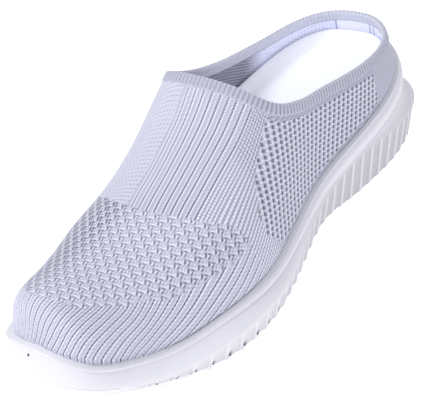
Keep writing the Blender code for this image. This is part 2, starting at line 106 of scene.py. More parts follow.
# Side of the sole. forefoot: share of the way from HEEL_WIDTH to BALL_WIDTH. flare: share of BAND_HEIGHT.
# rand: share of RAND_HEIGHT. lean: share of RAND_LEAN. hollow: 1 where the face below the roll is scooped
# out, 0 where it is full. roll: share of ROLL_HEIGHT and ROLL_BULGE. depth: share of CUP_DEPTH. thick:
# share of INSOLE_THICKNESS.
SIDE = (
    # along, forefoot, flare, rand, lean, hollow, roll, depth, thick
    (0.00, 0.00, 0.87, 1.00, 1.00, 1.00, 0.95, 1.00, 0.50),
    (0.12, 0.00, 0.86, 0.83, 0.33, 1.00, 1.00, 0.58, 0.90),
    (0.30, 0.15, 1.04, 0.66, -0.06, 1.00, 0.90, 0.54, 1.00),
    (0.45, 0.60, 0.84, 0.53, 0.00, 0.80, 0.70, 0.54, 0.70),
    (0.60, 1.00, 0.60, 0.405, 0.20, 0.20, 0.40, 0.57, 0.52),
    (0.75, 1.00, 0.52, 0.37, 0.38, 0.00, 0.20, 0.51, 0.42),
    (0.88, 1.00, 0.52, 0.41, 0.27, 0.00, 0.15, 0.64, 0.48),
    (1.00, 1.00, 1.09, 0.725, 0.20, 0.00, 0.15, 0.89, 0.42),
)

# Height of the vamp's ridge line. back: share of the foot line's length behind the tip of the toe.
# rise: share of the rise from the rand to the collar's front.
RIDGE = (
    # back, rise
    (0.000, 0.00),
    (0.020, 0.295),
    (0.060, 0.405),
    (0.130, 0.475),
    (0.220, 0.52),
    (0.320, 0.62),
    (0.420, 0.80),
    (0.560, 1.16),
    (0.840, 0.76),
    (1.000, 0.56),
)

# Roundness of the cross sections. wide and tall: powers of the section's curve across and up.
ROUND = (
    # along, wide, tall
    (0.00, 2.4, 2.0),
    (0.30, 2.6, 2.0),
    (0.55, 2.3, 2.0),
    (0.75, 2.3, 2.2),
    (1.00, 2.2, 2.2),
)

# Collar's height. inner, outer: shares of COLLAR_HEIGHT on either side of the foot, up to the throat.
COLLAR = (
    # along, inner, outer
    (0.00, 0.96, 0.96),
    (0.10, 0.94, 0.95),
    (0.25, 0.96, 0.94),
    (0.36, 1.02, 0.99),
    (0.44, 1.07, 1.10),
    (0.50, 1.18, 1.25),
    (0.56, 1.48, 1.46),
    (0.66, 1.62, 1.62),
)

# Sizes of the dressing, in metres where a table doesn't say mm
MM = 0.001
VAMP_SHIFT = 2.53 * MM         # middle line of the vamp's ribs, from the middle of the sole
RIB_CUT = 0.45 * MM            # depth of the groove between two strong ribs
FINE_CUT = 0.26 * MM           # and between fine ribs
ZIGZAG_CUT = 0.42 * MM
EYELET_CUT = 0.7 * MM
RIB_SPAN = (0, 8.6)            # strong ribs on the vamp, counted from its inner side
VAMP_REAR = 30 * MM            # y where they run out
SIDE_START = 15 * MM           # quarters begin this far from the ribs' middle line
MESH_REAR = 71.5 * MM          # y of the open mesh's rear edge
MESH_TOP = 6.8 * MM            # mesh below the collar's edge
MESH_FOOT = 4.2 * MM           # mesh above the foot line
COLLAR_RIB = 2.05 * MM         # from rib to rib of the collar band
COLLAR_RIB_CUT = 0.24 * MM
HEEL_SEAMS = (-18.8 * MM, -1.6 * MM, 1.0 * MM)    # inside the heel, a plain patch between the first two
SEAM_HALF = 0.4 * MM
HEEL_PATCH = (120 * MM, 20 * MM)                  # y of that patch's middle, half its reach
SHADED_RIBS_UNDER_VAMP = (-74 * MM, -56 * MM)                 # -y over which the lining changes to ribs darkened with painted shade
STITCH_CM = (0.080, 0.110)                        # fine stitch in the yarn, across and along
PINHOLE_CM = 0.21                                 # from pinhole to pinhole of the lining
LINING_RIB_CM = 0.158
WAVE_SCALE = 0.318                                # scale of a wave texture with about one band in a unit
VENT = (2.9 * MM, -129.4 * MM, 29.2 * MM)         # small vent in the toe bumper, its hole only a painted dark spot of shade
VENT_EDGE = (0.45 * MM, 0.75 * MM)                # from its middle, over which the painted shade fades

# Fineness of the grids
FACE_ROWS, ROLL_ROWS = 22, 12                     # midsole: from flared edge to crease, and round the roll
KNIT_AHEAD, KNIT_BEHIND, KNIT_ROWS = 390, 410, 210
BAND_STATIONS = 520
LINING_STEPS = (3, 4)                             # of the knit's stations and rows, to one of the lining's

# Where the knit meets the rubber's rim. lower: rim below its packed height, in mm. swell: how far the knit
# swells over it, in mm.
RIM_FIT = (
    # along, lower, swell
    (0.00, 0.0, 0.6),
    (0.82, 0.1, 0.6),
    (0.90, 1.0, 1.2),
    (0.95, 2.9, 2.4),
    (0.974, 3.5, 3.0),
    (0.99, 2.9, 2.6),
    (1.00, 1.1, 1.8),
)

# Ribs by number: 0 is the last strong one at the inner side of the vamp, from there outwards over the foot.
RIB_NAMES = (-10, -6, -4.5, -2.5, 0, 4, 8)
RIB_WAYS = (
    # y in mm, then for each name the arc across the foot in mm from the middle line
    (-118, 68, 56.5, 52, 47.5, 42, 31.5, 20.5),
    (-100, 68, 56, 51.5, 46.8, 41.3, 31.5, 21),
    (-80, 68, 54.0, 49, 42, 34, 21, 8),
    (-60, 66, 51.2, 45, 34.5, 26, 12.8, -2),
    (-45, 63.7, 48.2, 41.2, 31.8, 24.2, 10.6, -3.5),
    (-30, 58.5, 43.6, 38.0, 30.8, 23.0, 9.8, -5.2),
    (-10, 53, 40, 35.5, 30.2, 23.8, 9.0, -6.7),
    (10, 50, 38, 34, 29.5, 24.4, 9.0, -7.5),
)
TOE_RIBS = (
    # x in mm where a rib leaves the top of the toe, its number
    (-40, 31), (0, 15.5), (16, 9.2), (29.2, 3.5), (32, 2.2), (37, 0), (40.6, -2), (44.6, -4), (46.9, -5),
    (51, -7), (68, -15),
)
TOE_SLANT = (
    # x in mm, how far a rib goes inwards while it drops by one
    (-5, -0.1), (3, 0.25), (10, 0.5), (30, 0.5), (34, 0.35),
)
TOE_TOP = 42                   # height in mm that these two tables start from
TOE_START = (-112 * MM, -92 * MM)    # y over which they take over

# Front edge of the open mesh.
MESH_EDGE = (
    # height in mm, y in mm
    (18, -16), (22, -21), (26, -27), (31, -32), (40, -32), (46, -27.8), (50, -24.6), (56, -17.7),
    (59, -13.7), (64, -7.8), (67, -2.5), (80, 8),
)

# Outline of the zigzag over the toe, seen from above: x and y in mm, from its far corner along its rear edge.
ZIGZAG = (
    (-38, -45), (-37.5, -49), (-22.5, -57), (-9.5, -60.8), (2.5, -61.2), (10.5, -59.6), (18.5, -56.7),
    (26.5, -52.1), (32.5, -45.6), (37.5, -42), (38.5, -50), (37.3, -57.3), (35.8, -67.5), (32.7, -78.3),
    (31.2, -83.1), (28.5, -88.4), (25.7, -93.6), (24.4, -98.5), (19.5, -107.4), (16.3, -114.8),
    (11.4, -116.5), (5.6, -117.7), (-0.6, -118.4), (-6, -116.8), (-14, -111), (-22, -102), (-29.5, -89),
    (-35, -75), (-37.5, -60),
)
ZIGZAG_REAR = ZIGZAG[1:10]
ZIGZAG_ROW = 4.9 * MM          # from row to row
ZIGZAG_STEP = 3.15 * MM        # from stitch to stitch in a row
ZIGZAG_START = (26.6 * MM, 60.7 * MM)    # across and along, where one stitch of it lies

# Stitches of the two small patterns, as strokes in one cell. A cell's two steps are in the strokes' own unit.
ZIGZAG_CELL = ((11.1, -2.0), (3.0, 10.0))
ZIGZAG_GAPS = (
    # across, down, turn in degrees, half length, half width, depth
    (0.0, 0.0, 94, 3.2, 0.85, 1.0),
    (4.7, -0.3, 29, 2.7, 0.85, 0.85),
    (3.8, 3.4, -50, 2.2, 0.85, 0.9),
    (7.4, 5.4, -52, 1.7, 0.7, 0.5),
    (8.4, 1.6, 75, 1.5, 0.65, 0.45),
)
ZIGZAG_YARNS = (
    (5.2, -2.0, 28, 3.8, 0.8, 1.0),
    (2.2, 2.2, -45, 2.3, 0.75, 0.9),
    (-2.3, 1.0, -76, 2.8, 0.75, 0.8),
    (6.0, 2.9, -48, 1.6, 0.7, 0.7),
    (9.0, 4.4, -55, 2.0, 0.65, 0.7),
)
EYELET_TURNS = ((273, 110), (-52, 455))    # turns of the mesh's lattice in a metre to the rear and down
EYELET_CELL = ((4.9, -2.75), (0.0, 5.5))
EYELET_HOLES = (
    (0.0, 0.0, 98, 1.9, 1.05, 1.0),
)
EYELET_KNOTS = (
    (2.3, 0.5, 80, 1.7, 0.65, 1.0),
    (0.6, 2.7, 20, 1.2, 0.6, 0.8),
)

# What each zone of the knit wears. cut: how deep its pattern goes. dark: painted shade in its gap or hole.
# bright: painted highlight on its raised yarn. On the even rows both give a tone of the whole zone.
LAYERS = (
    # zone, pattern, cut, dark, bright
    ("vamp", "groove", RIB_CUT, 0, 0),
    ("vamp", "fading gap", 0, 0.98, 0),
    ("vamp", "lip", 0, 0, 1),
    ("vamp", "hatch", 0, 0.14, 0),
    ("vamp", "middle line", 0, 0.25, 0),
    ("lower toe", "groove", RIB_CUT, 0, 0),
    ("lower toe", "gap", 0, 0.8, 0),
    ("lower toe", "lip", 0, 0, 1),
    ("lower toe", "beads", 0, 0.2, 0),
    ("lower toe", "stitch", 0, 0.12, 0),
    ("upper toe", "fine rib", FINE_CUT, 0, 0),
    ("upper toe", "fine gap", 0, 0.72, 0),
    ("upper toe", "crest", 0, 0, 1),
    ("upper toe", "stitch", 0, 0.12, 0),
    ("side", "fine rib", FINE_CUT, 0, 0),
    ("side", "fine gap", 0, 0.58, 0),
    ("side", "crest", 0, 0, 1),
    ("side", "course", 0.5 * FINE_CUT, 0.25, 0),
    ("side", "stitch", 0, 0.12, 0),
    ("far", "dots", 1.1 * FINE_CUT, 0.5, 0),
    ("far", "stitch", 0, 0.10, 0),
    ("far", "even", 0, 0.03, 0.22),
    ("zigzag", "weave", ZIGZAG_CUT, 0, 0),
    ("zigzag", "dash", 0, 1, 0),
    ("zigzag", "yarn", 0, 0, 1),
    ("zigzag", "even", 0, 0.06, 0),
    ("mesh", "eyelet", EYELET_CUT, 0, 0),
    ("mesh", "hole", 0, 1, 0),
    ("mesh", "knot", 0, 0, 0.75),
    ("mesh", "even", 0, 0.10, 0),
    ("heel", "slanting rib", FINE_CUT, 0.55, 0),
    ("border", "edge rib", FINE_CUT, 0.35, 0),
    ("border", "even", 0, 0.18, 0),
)

# Colours
YARN = (0.48, 0.49, 0.585)
# Ridge and gap colours of the yarn are painted highlight and painted shade.
YARN_RIDGE_HIGHLIGHT = (0.84, 0.85, 0.97)
YARN_GAP_SHADE = (0.11, 0.11, 0.165)
LINING = (0.82, 0.83, 0.99)
# Painted shade: in the lining's pinholes, and on its ribs and grooves below the vamp.
LINING_PINHOLE_SHADE = (0.66, 0.67, 0.88)
LINING_RIB_IN_SHADE = (0.37, 0.37, 0.47)
LINING_GROOVE_IN_SHADE = (0.19, 0.19, 0.25)
LINING_SEAM = (0.42, 0.43, 0.60)
FOAM = (0.63, 0.625, 0.68)
# Painted shade of the foam in its crease and hollow.
FOAM_CREASE_SHADE = (0.42, 0.41, 0.46)
SOCKLINER = (0.88, 0.89, 0.97)
RUBBER = (0.64, 0.63, 0.67)
# Painted shade of the rubber on its flats and in the tread's grooves.
RUBBER_FLAT_SHADE = (0.22, 0.21, 0.245)

# Light and camera
LAMPS = (
    # name, place, size, watts
    ("soft key", (-0.6, -0.8, 1.15), 0.6, 13.0),
    ("soft fill", (1.1, -0.5, 0.7), 1.2, 6.0),
)
LAMP_AIM = (0, 0, 0.03)
CAMERA_TURN, CAMERA_LIFT, CAMERA_ROLL = 0.72776, 0.56306, -0.14404    # in radians
CAMERA_AIM = (0.00174, -0.02005, 0.030)
CAMERA_DISTANCE = 0.48075
CAMERA_FOCUS = 1170.3 / 424    # focal length as a share of the picture's width
SENSOR_WIDTH = 36.0


# The last and the sole's sides
def column(table, at, place, root=False):
    """One column of a table at any station, on a smooth curve through its rows."""
    keys = np.array([row[0] for row in table])
    values = np.array([row[place] for row in table])
    at = np.asarray(at, dtype=float)
    if root:
        keys, at = np.sqrt(keys), np.sqrt(np.clip(at, 0, None))
    steps = np.diff(keys)
    slopes = np.diff(values) / steps
    tangents = np.concatenate(([slopes[0]], (slopes[1:] * steps[:-1] + slopes[:-1] * steps[1:])
                               / (steps[:-1] + steps[1:]), [slopes[-1]]))
    at = np.clip(at, keys[0], keys[-1])
    spot = np.clip(np.searchsorted(keys, at, side="right") - 1, 0, len(steps) - 1)
    t = (at - keys[spot]) / steps[spot]
    return (values[spot] * (2 * t ** 3 - 3 * t ** 2 + 1)
            + tangents[spot] * steps[spot] * (t ** 3 - 2 * t ** 2 + t)
            + values[spot + 1] * (3 * t ** 2 - 2 * t ** 3)
            + tangents[spot + 1] * steps[spot] * (t ** 3 - t ** 2))


def width(along):
    """Width that PLAN's shares follow: the heel's behind, the ball's in front."""
    return HEEL_WIDTH + (BALL_WIDTH - HEEL_WIDTH) * column(SIDE, along, 1)


def plan_curve(steps=40):
    """Flared edge seen from above, from the heel by the inner side to the toe and back.

    Gives points and outward normals. A closed cubic spline runs through the rows of PLAN, with steps points
    for each row.
    """
    knots = [(HEEL_TIP * HEEL_WIDTH, 0.0)]
    knots += [(inner * width(along), along * SOLE_LENGTH) for along, inner, outer in PLAN]
    knots += [(TOE_TIP * BALL_WIDTH, SOLE_LENGTH)]
    knots += [(outer * width(along), along * SOLE_LENGTH) for along, inner, outer in reversed(PLAN)]
    knots = np.array(knots)
    count = len(knots)
    ahead = np.roll(knots, -1, axis=0) - knots
    span = np.sqrt(np.linalg.norm(ahead, axis=1))
    system = np.zeros((count, count))
    for i in range(count):
        system[i, i - 1] += span[i]
        system[i, i] += 2 * (span[i] + span[i - 1])
        system[i, (i + 1) % count] += span[i - 1]
    speed = ahead / span[:, None]
    wanted = 3 * (span[:, None] * np.roll(speed, 1, axis=0) + np.roll(span, 1)[:, None] * speed)
    tangent = np.linalg.solve(system, wanted)
    t = np.linspace(0, 1, steps, endpoint=False)[None, :, None]
    here, there = knots[:, None], np.roll(knots, -1, axis=0)[:, None]
    out = (tangent * span[:, None])[:, None]
    back = (np.roll(tangent, -1, axis=0) * span[:, None])[:, None]
    points = (here * (2 * t ** 3 - 3 * t ** 2 + 1) + out * (t ** 3 - 2 * t ** 2 + t)
              + there * (3 * t ** 2 - 2 * t ** 3) + back * (t ** 3 - t ** 2)).reshape(-1, 2)
    points[:, 0] -= (points[:, 0].max() + points[:, 0].min()) / 2
    points[:, 1] = SOLE_LENGTH / 2 - points[:, 1]
    ahead = np.roll(points, -1, axis=0) - np.roll(points, 1, axis=0)
    normals = np.stack((-ahead[:, 1], ahead[:, 0]), axis=1)
    return points, normals / np.linalg.norm(normals, axis=1)[:, None]


class Edge:
    """Stations on the flared edge on one side, from the back of the heel to the toe."""

    def __init__(self, shares, inner):
        points, normals = plan_curve()
        half = len(points) // 2
        order = np.arange(half + 1) if inner else -np.arange(half + 1)
        points, normals = points[order], normals[order]
        run = np.concatenate(([0], np.cumsum(np.linalg.norm(np.diff(points, axis=0), axis=1))))
        at = np.asarray(shares, dtype=float) * run[-1]
        self.point = np.stack([np.interp(at, run, points[:, k]) for k in (0, 1)], axis=1)
        normal = np.stack([np.interp(at, run, normals[:, k]) for k in (0, 1)], axis=1)
        self.normal = normal / np.linalg.norm(normal, axis=1)[:, None]
        self.along = np.clip(0.5 - self.point[:, 1] / SOLE_LENGTH, 0, 1)
        self.length = run[-1]

    def ring(self, inset, height):
        """Points inset from the flared edge. A rule for the height is read where each point lies."""
        flat = self.point - self.normal * np.broadcast_to(inset, self.along.shape)[:, None]
        if callable(height):
            height = height(np.clip(0.5 - flat[:, 1] / SOLE_LENGTH, 0, 1))
        return np.column_stack((flat, np.broadcast_to(height, self.along.shape)))


def flare_height(along):
    return BAND_HEIGHT * column(SIDE, along, 2)


def rand_height(along):
    return RAND_HEIGHT * column(SIDE, along, 3)


def rand_lean(along):
    return RAND_LEAN * column(SIDE, along, 4)


def floor_height(along):
    """Floor of the midsole's cup, under the insole."""
    return rand_height(along) - CUP_DEPTH * column(SIDE, along, 7)


def footbed_height(along):
    """Top of the insole."""
    return floor_height(along) + GAP + INSOLE_THICKNESS * column(SIDE, along, 8)


def cup_inset(along):
    """Inner face of the midsole's rim."""
    return rand_lean(along) + RAND_WALL


def rise(value, start, end):
    """0 before start, 1 after end, smooth between."""
    t = np.clip((np.asarray(value, dtype=float) - start) / (end - start), 0, 1)
    return t * t * (3 - 2 * t)


def underside_height(along):
    """Flat at heel and forefoot, lifted at the bevel, the arch and the toe spring."""
    bevel = HEEL_BEVEL * np.clip(1 - along / 0.07, 0, 1) ** 2
    arch = ARCH_LIFT * rise(along, 0.30, 0.42) * (1 - rise(along, 0.42, 0.54))
    spring = TOE_SPRING * np.clip((along - 0.74) / 0.26, 0, 1) ** 1.8
    return bevel + arch + spring


class Last:
    """Form of the upper: heights over the plan, from the rand's line, the ridge line and the sections."""

    def __init__(self):
        shares = np.linspace(0, 1, 400)
        self.inner, self.outer = (self.foot_line(shares, inner) for inner in (True, False))
        self.back, self.front = self.inner[0, 1], self.inner[-1, 1]
        self.band_front = self.meet_ridge(BAND_WIDTH + BAND_STEP)

    @staticmethod
    def foot_line(shares, inner):
        """Outside of the upper where it leaves the midsole's cup."""
        edge = Edge(shares, inner)
        return edge.ring(cup_inset(edge.along) + GAP, rand_height(edge.along) - 0.25 * RAND_WALL)

    @staticmethod
    def along(y):
        return np.clip(0.5 - np.asarray(y) / SOLE_LENGTH, 0, 1)

    def sides(self, y):
        """Inner and outer edge of the foot line at a station y."""
        return [np.interp(-y, -line[:, 1], line[:, 0]) for line in (self.inner, self.outer)]

    def floor(self, y):
        return (np.interp(-y, -self.inner[:, 1], self.inner[:, 2])
                + np.interp(-y, -self.outer[:, 1], self.outer[:, 2])) / 2

    def ridge(self, y):
        """Height of the ridge line, which runs on as a form over the opening."""
        back = (np.asarray(y) - self.front) / (self.back - self.front)
        climb = THROAT_HEIGHT - rand_height(0.55)
        return self.floor(y) + climb * column(RIDGE, back, 1, root=True) * self.closing(back)

    def middle(self, along):
        """Middle of the foot across a station."""
        return float(sum(self.sides((0.5 - along) * SOLE_LENGTH))) / 2

    @staticmethod
    def closing(back):
        """Closes the form at the back of the heel as a round end."""
        return np.sqrt(np.clip(1 - np.clip((back - 0.84) / 0.16, 0, 1) ** 2.4, 0, 1))

    def height(self, x, y):
        inner, outer = self.sides(y)
        middle, half = (inner + outer) / 2, np.maximum((inner - outer) / 2, 1e-6)
        along = self.along(y)
        across = np.clip(np.abs(x - middle) / half, 0, 1)
        section = (1 - across ** column(ROUND, along, 1)) ** (1 / column(ROUND, along, 2))
        low = self.floor(y)
        return low + (self.ridge(y) - low) * section

    def collar(self, x, y):
        """Height at which the collar cuts the form."""
        inner, outer = self.sides(y)
        half = np.maximum((inner - outer) / 2, 1e-6)
        toward = np.clip((x - (inner + outer) / 2) / half, -1, 1) / 2 + 0.5
        along = self.along(y)
        return COLLAR_HEIGHT * (toward * column(COLLAR, along, 1) + (1 - toward) * column(COLLAR, along, 2))

    def lean(self, along, height):
        """How far the form has come in from the foot line at a height."""
        y = (0.5 - along) * SOLE_LENGTH
        inner, outer = self.sides(y)
        low = self.floor(y)
        share = np.clip((height - low) / np.maximum(self.ridge(y) - low, WALL), 0, 0.9)
        across = (1 - share ** column(ROUND, along, 2)) ** (1 / column(ROUND, along, 1))
        return (inner - outer) / 2 * (1 - across)

    def meet_ridge(self, distance):
        """Station of the ridge line at a distance ahead of the collar's edge."""
        y = np.linspace(self.front + 0.2 * SOLE_LENGTH, self.back - 0.35 * SOLE_LENGTH, 4000)
        left = self.way_to_collar(sum(self.sides(y)) / 2, y)[0] - distance
        k = np.argmax(left < 0)
        return y[k - 1] + (y[k] - y[k - 1]) * left[k - 1] / (left[k - 1] - left[k])

    def slopes(self, x, y):
        """Slopes of the form and of the collar's height across and along the foot."""
        step = 1e-5
        form = np.stack(((self.height(x + step, y) - self.height(x - step, y)) / (2 * step),
                         (self.height(x, y + step) - self.height(x, y - step)) / (2 * step)))
        collar = np.stack(((self.collar(x + step, y) - self.collar(x - step, y)) / (2 * step),
                           (self.collar(x, y + step) - self.collar(x, y - step)) / (2 * step)))
        return form, collar

    def way_to_collar(self, x, y):
        """Distance to the collar's edge along the form, and the way there as a step over the plan."""
        form, collar = self.slopes(x, y)
        fall = collar - form
        along_form = (form * fall).sum(axis=0) / (1 + (form ** 2).sum(axis=0))
        way = fall - form * along_form
        steepness = np.sqrt(np.maximum((fall * way).sum(axis=0), 1e-12))
        distance = (self.collar(x, y) - self.height(x, y)) / steepness
        return distance, -way / steepness

    def normal(self, x, y):
        form = self.slopes(x, y)[0]
        outward = np.stack((-form[0], -form[1], np.ones_like(form[0])), axis=-1)
        return outward / np.linalg.norm(outward, axis=-1)[..., None]


def aim(last, y):
    """Where on the ridge a station of the foot line looks: fanned at the ends, turned back at the throat."""
    front = FAN_SHIFT * np.clip(1 - (y - last.front) / FAN_REACH, 0, 1) ** 2
    back = FAN_SHIFT * np.clip(1 - (last.back - y) / FAN_REACH, 0, 1) ** 2
    turned = last.band_front + 0.1 * THROAT_REACH
    turn = THROAT_SHIFT * rise(y, turned - THROAT_REACH, turned)
    return y + front - back + turn * rise(last.back - y, 0, FAN_REACH)


def stations(last, ahead, behind):
    """Shares of the flared edge for the upper's stations, from toe to heel, one at the band's front."""
    shares = np.linspace(0, 1, len(last.inner))
    looks = aim(last, (last.inner[:, 1] + last.outer[:, 1]) / 2)
    meeting = np.interp(-last.band_front, -looks, shares)
    away = np.linspace(0, 1, behind + 1)[1:] ** 1.15
    return np.concatenate((np.linspace(1, meeting, ahead + 1), meeting * (1 - away)))


def upper_form(last, ahead, behind, rows, samples=240):
    """Outside of the upper, a grid for each side: stations by rows, from the cup to the ridge or the band."""
    shares = stations(last, ahead, behind)
    pairs = [Edge(shares, inner) for inner in (True, False)]
    lines = [last.foot_line(shares, inner) for inner in (True, False)]
    aim_y = aim(last, (lines[0][:, 1] + lines[1][:, 1]) / 2)
    goal = np.stack((sum(last.sides(aim_y)) / 2, aim_y), axis=1)
    spread = 1 - np.cos(np.linspace(0, math.pi / 2, samples)) ** 0.85
    grids = []
    for edge, line in zip(pairs, lines):
        flat = line[:, None, :2] + (goal - line[:, :2])[:, None] * spread[None, :, None]
        path = np.dstack((flat, last.height(flat[..., 0], flat[..., 1])))
        path[:, 0, 2] = line[:, 2]
        left = last.way_to_collar(flat[..., 0], flat[..., 1])[0] - BAND_WIDTH - BAND_STEP
        low = edge.ring(cup_inset(edge.along) + GAP, lambda along: floor_height(along) + GAP)
        body = []
        for i in range(ahead + behind + 1):
            run = np.concatenate(([0], np.cumsum(np.linalg.norm(np.diff(path[i], axis=0), axis=1))))
            end = run[-1]
            past = np.nonzero((left[i] < 0) & (path[i, :, 2] > line[i, 2] + WALL))[0]
            if i > ahead and len(past):
                k = past[0]
                share = left[i, k - 1] / (left[i, k - 1] - left[i, k])
                end = run[k - 1] + (run[k] - run[k - 1]) * share
            at = end * np.linspace(0, 1, rows + 1)
            spots = np.stack([np.interp(at, run, path[i, :, k]) for k in range(3)], axis=1)
            body.append(np.vstack((low[i], spots)))
        grids.append(np.array(body))
    return grids


# The knit
def bump_of(phase, centre, wide):
    """A soft ridge once in each turn of the phase, from 0 to 1."""
    away = np.abs((phase - centre + 0.5) % 1.0 - 0.5)
    return np.exp(-(away / wide) ** 2)


def wave_of(phase):
    """A wave from 0 to 1 and back in each turn of the phase."""
    return 0.5 + 0.5 * np.cos(2 * math.pi * phase)


def soft_step(value, edge, wide):
    return rise(value, edge - wide / 2, edge + wide / 2)


def between_rows(table, value):
    """Second column of a table on straight lines between its rows."""
    return np.interp(value, [row[0] for row in table], [row[1] for row in table])


class Knit:
    """Coordinates of the knit: across the foot over the vamp, and along the foot from the collar's edge."""

    def __init__(self, last):
        self.last = last
        self.turns = np.linspace(-1, 1, 361)
        self.rows = np.linspace(last.front + 1e-4, last.back - 1e-4, 420)
        y = self.rows[:, None]
        inner, outer = last.sides(self.rows)
        middle, half = ((inner + outer) / 2)[:, None], ((inner - outer) / 2)[:, None]
        x = middle + half * np.sin(self.turns * math.pi / 2)[None, :]
        z = last.height(x, np.broadcast_to(y, x.shape))
        across = np.sqrt(np.diff(x, axis=1) ** 2 + np.diff(z, axis=1) ** 2)
        across = np.concatenate((np.zeros((len(y), 1)), np.cumsum(across, axis=1)), axis=1)
        zero = np.array([np.interp(-VAMP_SHIFT, x[k], across[k]) for k in range(len(y))])
        self.across = across - zero[:, None]
        along = np.sqrt(np.diff(x, axis=0) ** 2 + np.diff(z, axis=0) ** 2 + np.diff(self.rows)[:, None] ** 2)
        along = np.concatenate((np.zeros((1, x.shape[1])), np.cumsum(along, axis=0)))
        start = np.array([np.interp(last.band_front, self.rows, along[:, k]) for k in range(x.shape[1])])
        self.along = start[None, :] - along

    def read(self, table, x, y):
        """One of the two coordinates at points of the form."""
        inner, outer = self.last.sides(y)
        middle, half = (inner + outer) / 2, np.maximum((inner - outer) / 2, 1e-6)
        turn = np.arcsin(np.clip((x - middle) / half, -1, 1)) / (math.pi / 2)
        across = np.clip((turn + 1) / 2 * (len(self.turns) - 1), 0, len(self.turns) - 1.001)
        row = (y - self.rows[0]) / (self.rows[-1] - self.rows[0]) * (len(self.rows) - 1)
        row = np.clip(row, 0, len(self.rows) - 1.001)
        i, j = row.astype(int), across.astype(int)
        u, v = row - i, across - j
        return ((table[i, j] * (1 - v) + table[i, j + 1] * v) * (1 - u)
                + (table[i + 1, j] * (1 - v) + table[i + 1, j + 1] * v) * u)

    def rib(self, x, y, z):
        """Number of the rib at a point, counted outwards from the inner side of the vamp."""
        arc = self.read(self.across, x, y) / MM
        table = np.array(RIB_WAYS)
        ways = []
        for arcs in table.T[1:]:
            nearby = [np.interp(y / MM + shift, table[:, 0], arcs) for shift in (-9, -4.5, 0, 4.5, 9)]
            ways.append(sum(nearby) / len(nearby))
        number = RIB_NAMES[0] + (ways[0] - arc) / 3.5
        for k in range(len(ways) - 1):
            step = (RIB_NAMES[k + 1] - RIB_NAMES[k]) / (ways[k] - ways[k + 1])
            number = np.where(arc < ways[k], RIB_NAMES[k] + (ways[k] - arc) * step, number)
        top = x / MM + between_rows(TOE_SLANT, x / MM) * (TOE_TOP - z / MM)
        behind = rise(y, *TOE_START)
        return number * behind + between_rows(TOE_RIBS, top) * (1 - behind)

    def foot_inset(self, x, y):
        """Distance in plan from the foot line."""
        line = np.vstack((self.last.inner[::2, :2], self.last.outer[::-2, :2]))
        flat = np.stack((np.ravel(x), np.ravel(y)), axis=1)
        near = np.full(len(flat), 1.0)
        for start, end in zip(line[:-1], line[1:]):
            way = end - start
            share = np.clip(((flat - start) @ way) / max(way @ way, 1e-12), 0, 1)
            near = np.minimum(near, np.linalg.norm(flat - start - share[:, None] * way, axis=1))
        return near.reshape(np.shape(x))


def way_inside(outline, x, y):
    """Distance inside a closed outline, negative outside."""
    px, py = np.ravel(x), np.ravel(y)
    corners = np.array(outline) * MM
    near = np.full(px.shape, 1.0)
    inside = np.zeros(px.shape, dtype=bool)
    for (ax, ay), (bx, by) in zip(corners, np.roll(corners, -1, axis=0)):
        length = (bx - ax) ** 2 + (by - ay) ** 2
        share = np.clip(((px - ax) * (bx - ax) + (py - ay) * (by - ay)) / length, 0, 1)
        near = np.minimum(near, np.hypot(px - ax - share * (bx - ax), py - ay - share * (by - ay)))
        crosses = (ay > py) != (by > py)
        inside ^= crosses & (px < ax + (bx - ax) * (py - ay) / np.where(by == ay, 1, by - ay))
    return np.where(inside, near, -near).reshape(np.shape(x))


def zones(knit, x, y, z, rib, inset, collar_gap):
    """Weights from 0 to 1 of the knit's zones."""
    zigzag = soft_step(way_inside(ZIGZAG, x, y), 0, 0.8 * MM)
    ahead = 1 - soft_step(y - between_rows(ZIGZAG_REAR, x / MM) * MM, 0, 0.8 * MM)
    toe, behind = ahead * (1 - zigzag), (1 - ahead) * (1 - zigzag)
    upper = rise(inset, 3 * MM, 11 * MM)
    outside = soft_step(rib, RIB_SPAN[1], 0.2)
    vamp = soft_step(rib, RIB_SPAN[0] - 0.2, 0.2) * (1 - outside) * behind
    vamp = vamp * (1 - soft_step(y, VAMP_REAR, 5 * MM))
    quarter = soft_step(np.abs(x + VAMP_SHIFT), SIDE_START, 1 * MM) * behind
    quarter = quarter * soft_step(y - between_rows(MESH_EDGE, z / MM) * MM, 0, 0.5 * MM)
    mesh = (quarter * (1 - soft_step(y, MESH_REAR, 0.6 * MM)) * soft_step(collar_gap, MESH_TOP, 0.5 * MM)
            * soft_step(z - knit.last.floor(y), MESH_FOOT, 0.6 * MM))
    rear = soft_step(y, MESH_REAR, 0.8 * MM)
    border, heel = quarter * (1 - mesh) * (1 - rear), rear * (1 - mesh)
    far = outside * behind * (1 - mesh) * (1 - border) * (1 - heel)
    side = np.clip(behind - mesh - border - heel - vamp - far, 0, 1)
    return {"vamp": vamp, "side": side, "far": far, "zigzag": zigzag, "upper toe": toe * upper,
            "lower toe": toe * (1 - upper), "mesh": mesh, "border": border, "heel": heel}


def strokes(cell, table, i, j, grow=1.0):
    """Strokes of a small pattern drawn once in each cell of a lattice. i and j are the lattice's turns."""
    (ax, ay), (bx, by) = cell
    size = ax * by - ay * bx
    drawn = np.zeros(np.shape(i))
    for across, down, turn, long, wide, deep in table:
        cos, sin = math.cos(math.radians(turn)), math.sin(math.radians(turn))
        di = (i - (across * by - down * bx) / size + 0.5) % 1.0 - 0.5
        dj = (j - (down * ax - across * ay) / size + 0.5) % 1.0 - 0.5
        for k in (-1, 0, 1):
            px, py = di * ax + (dj + k) * bx, di * ay + (dj + k) * by
            ahead, beside = px * cos + py * sin, py * cos - px * sin
            stroke = np.exp(-(ahead / long) ** 4 - (beside / (wide * grow)) ** 2)
            drawn = np.maximum(drawn, deep * stroke)
    return drawn


def zigzag_turns(arc, v):
    """Turns of the zigzag's lattice. Its rows drop towards the far side."""
    side = arc + 8 * MM
    row = (v - 1.12 * side + 10.45 * np.maximum(side, 0) ** 2) / ZIGZAG_ROW
    return -row, arc / ZIGZAG_STEP + 0.70 * row


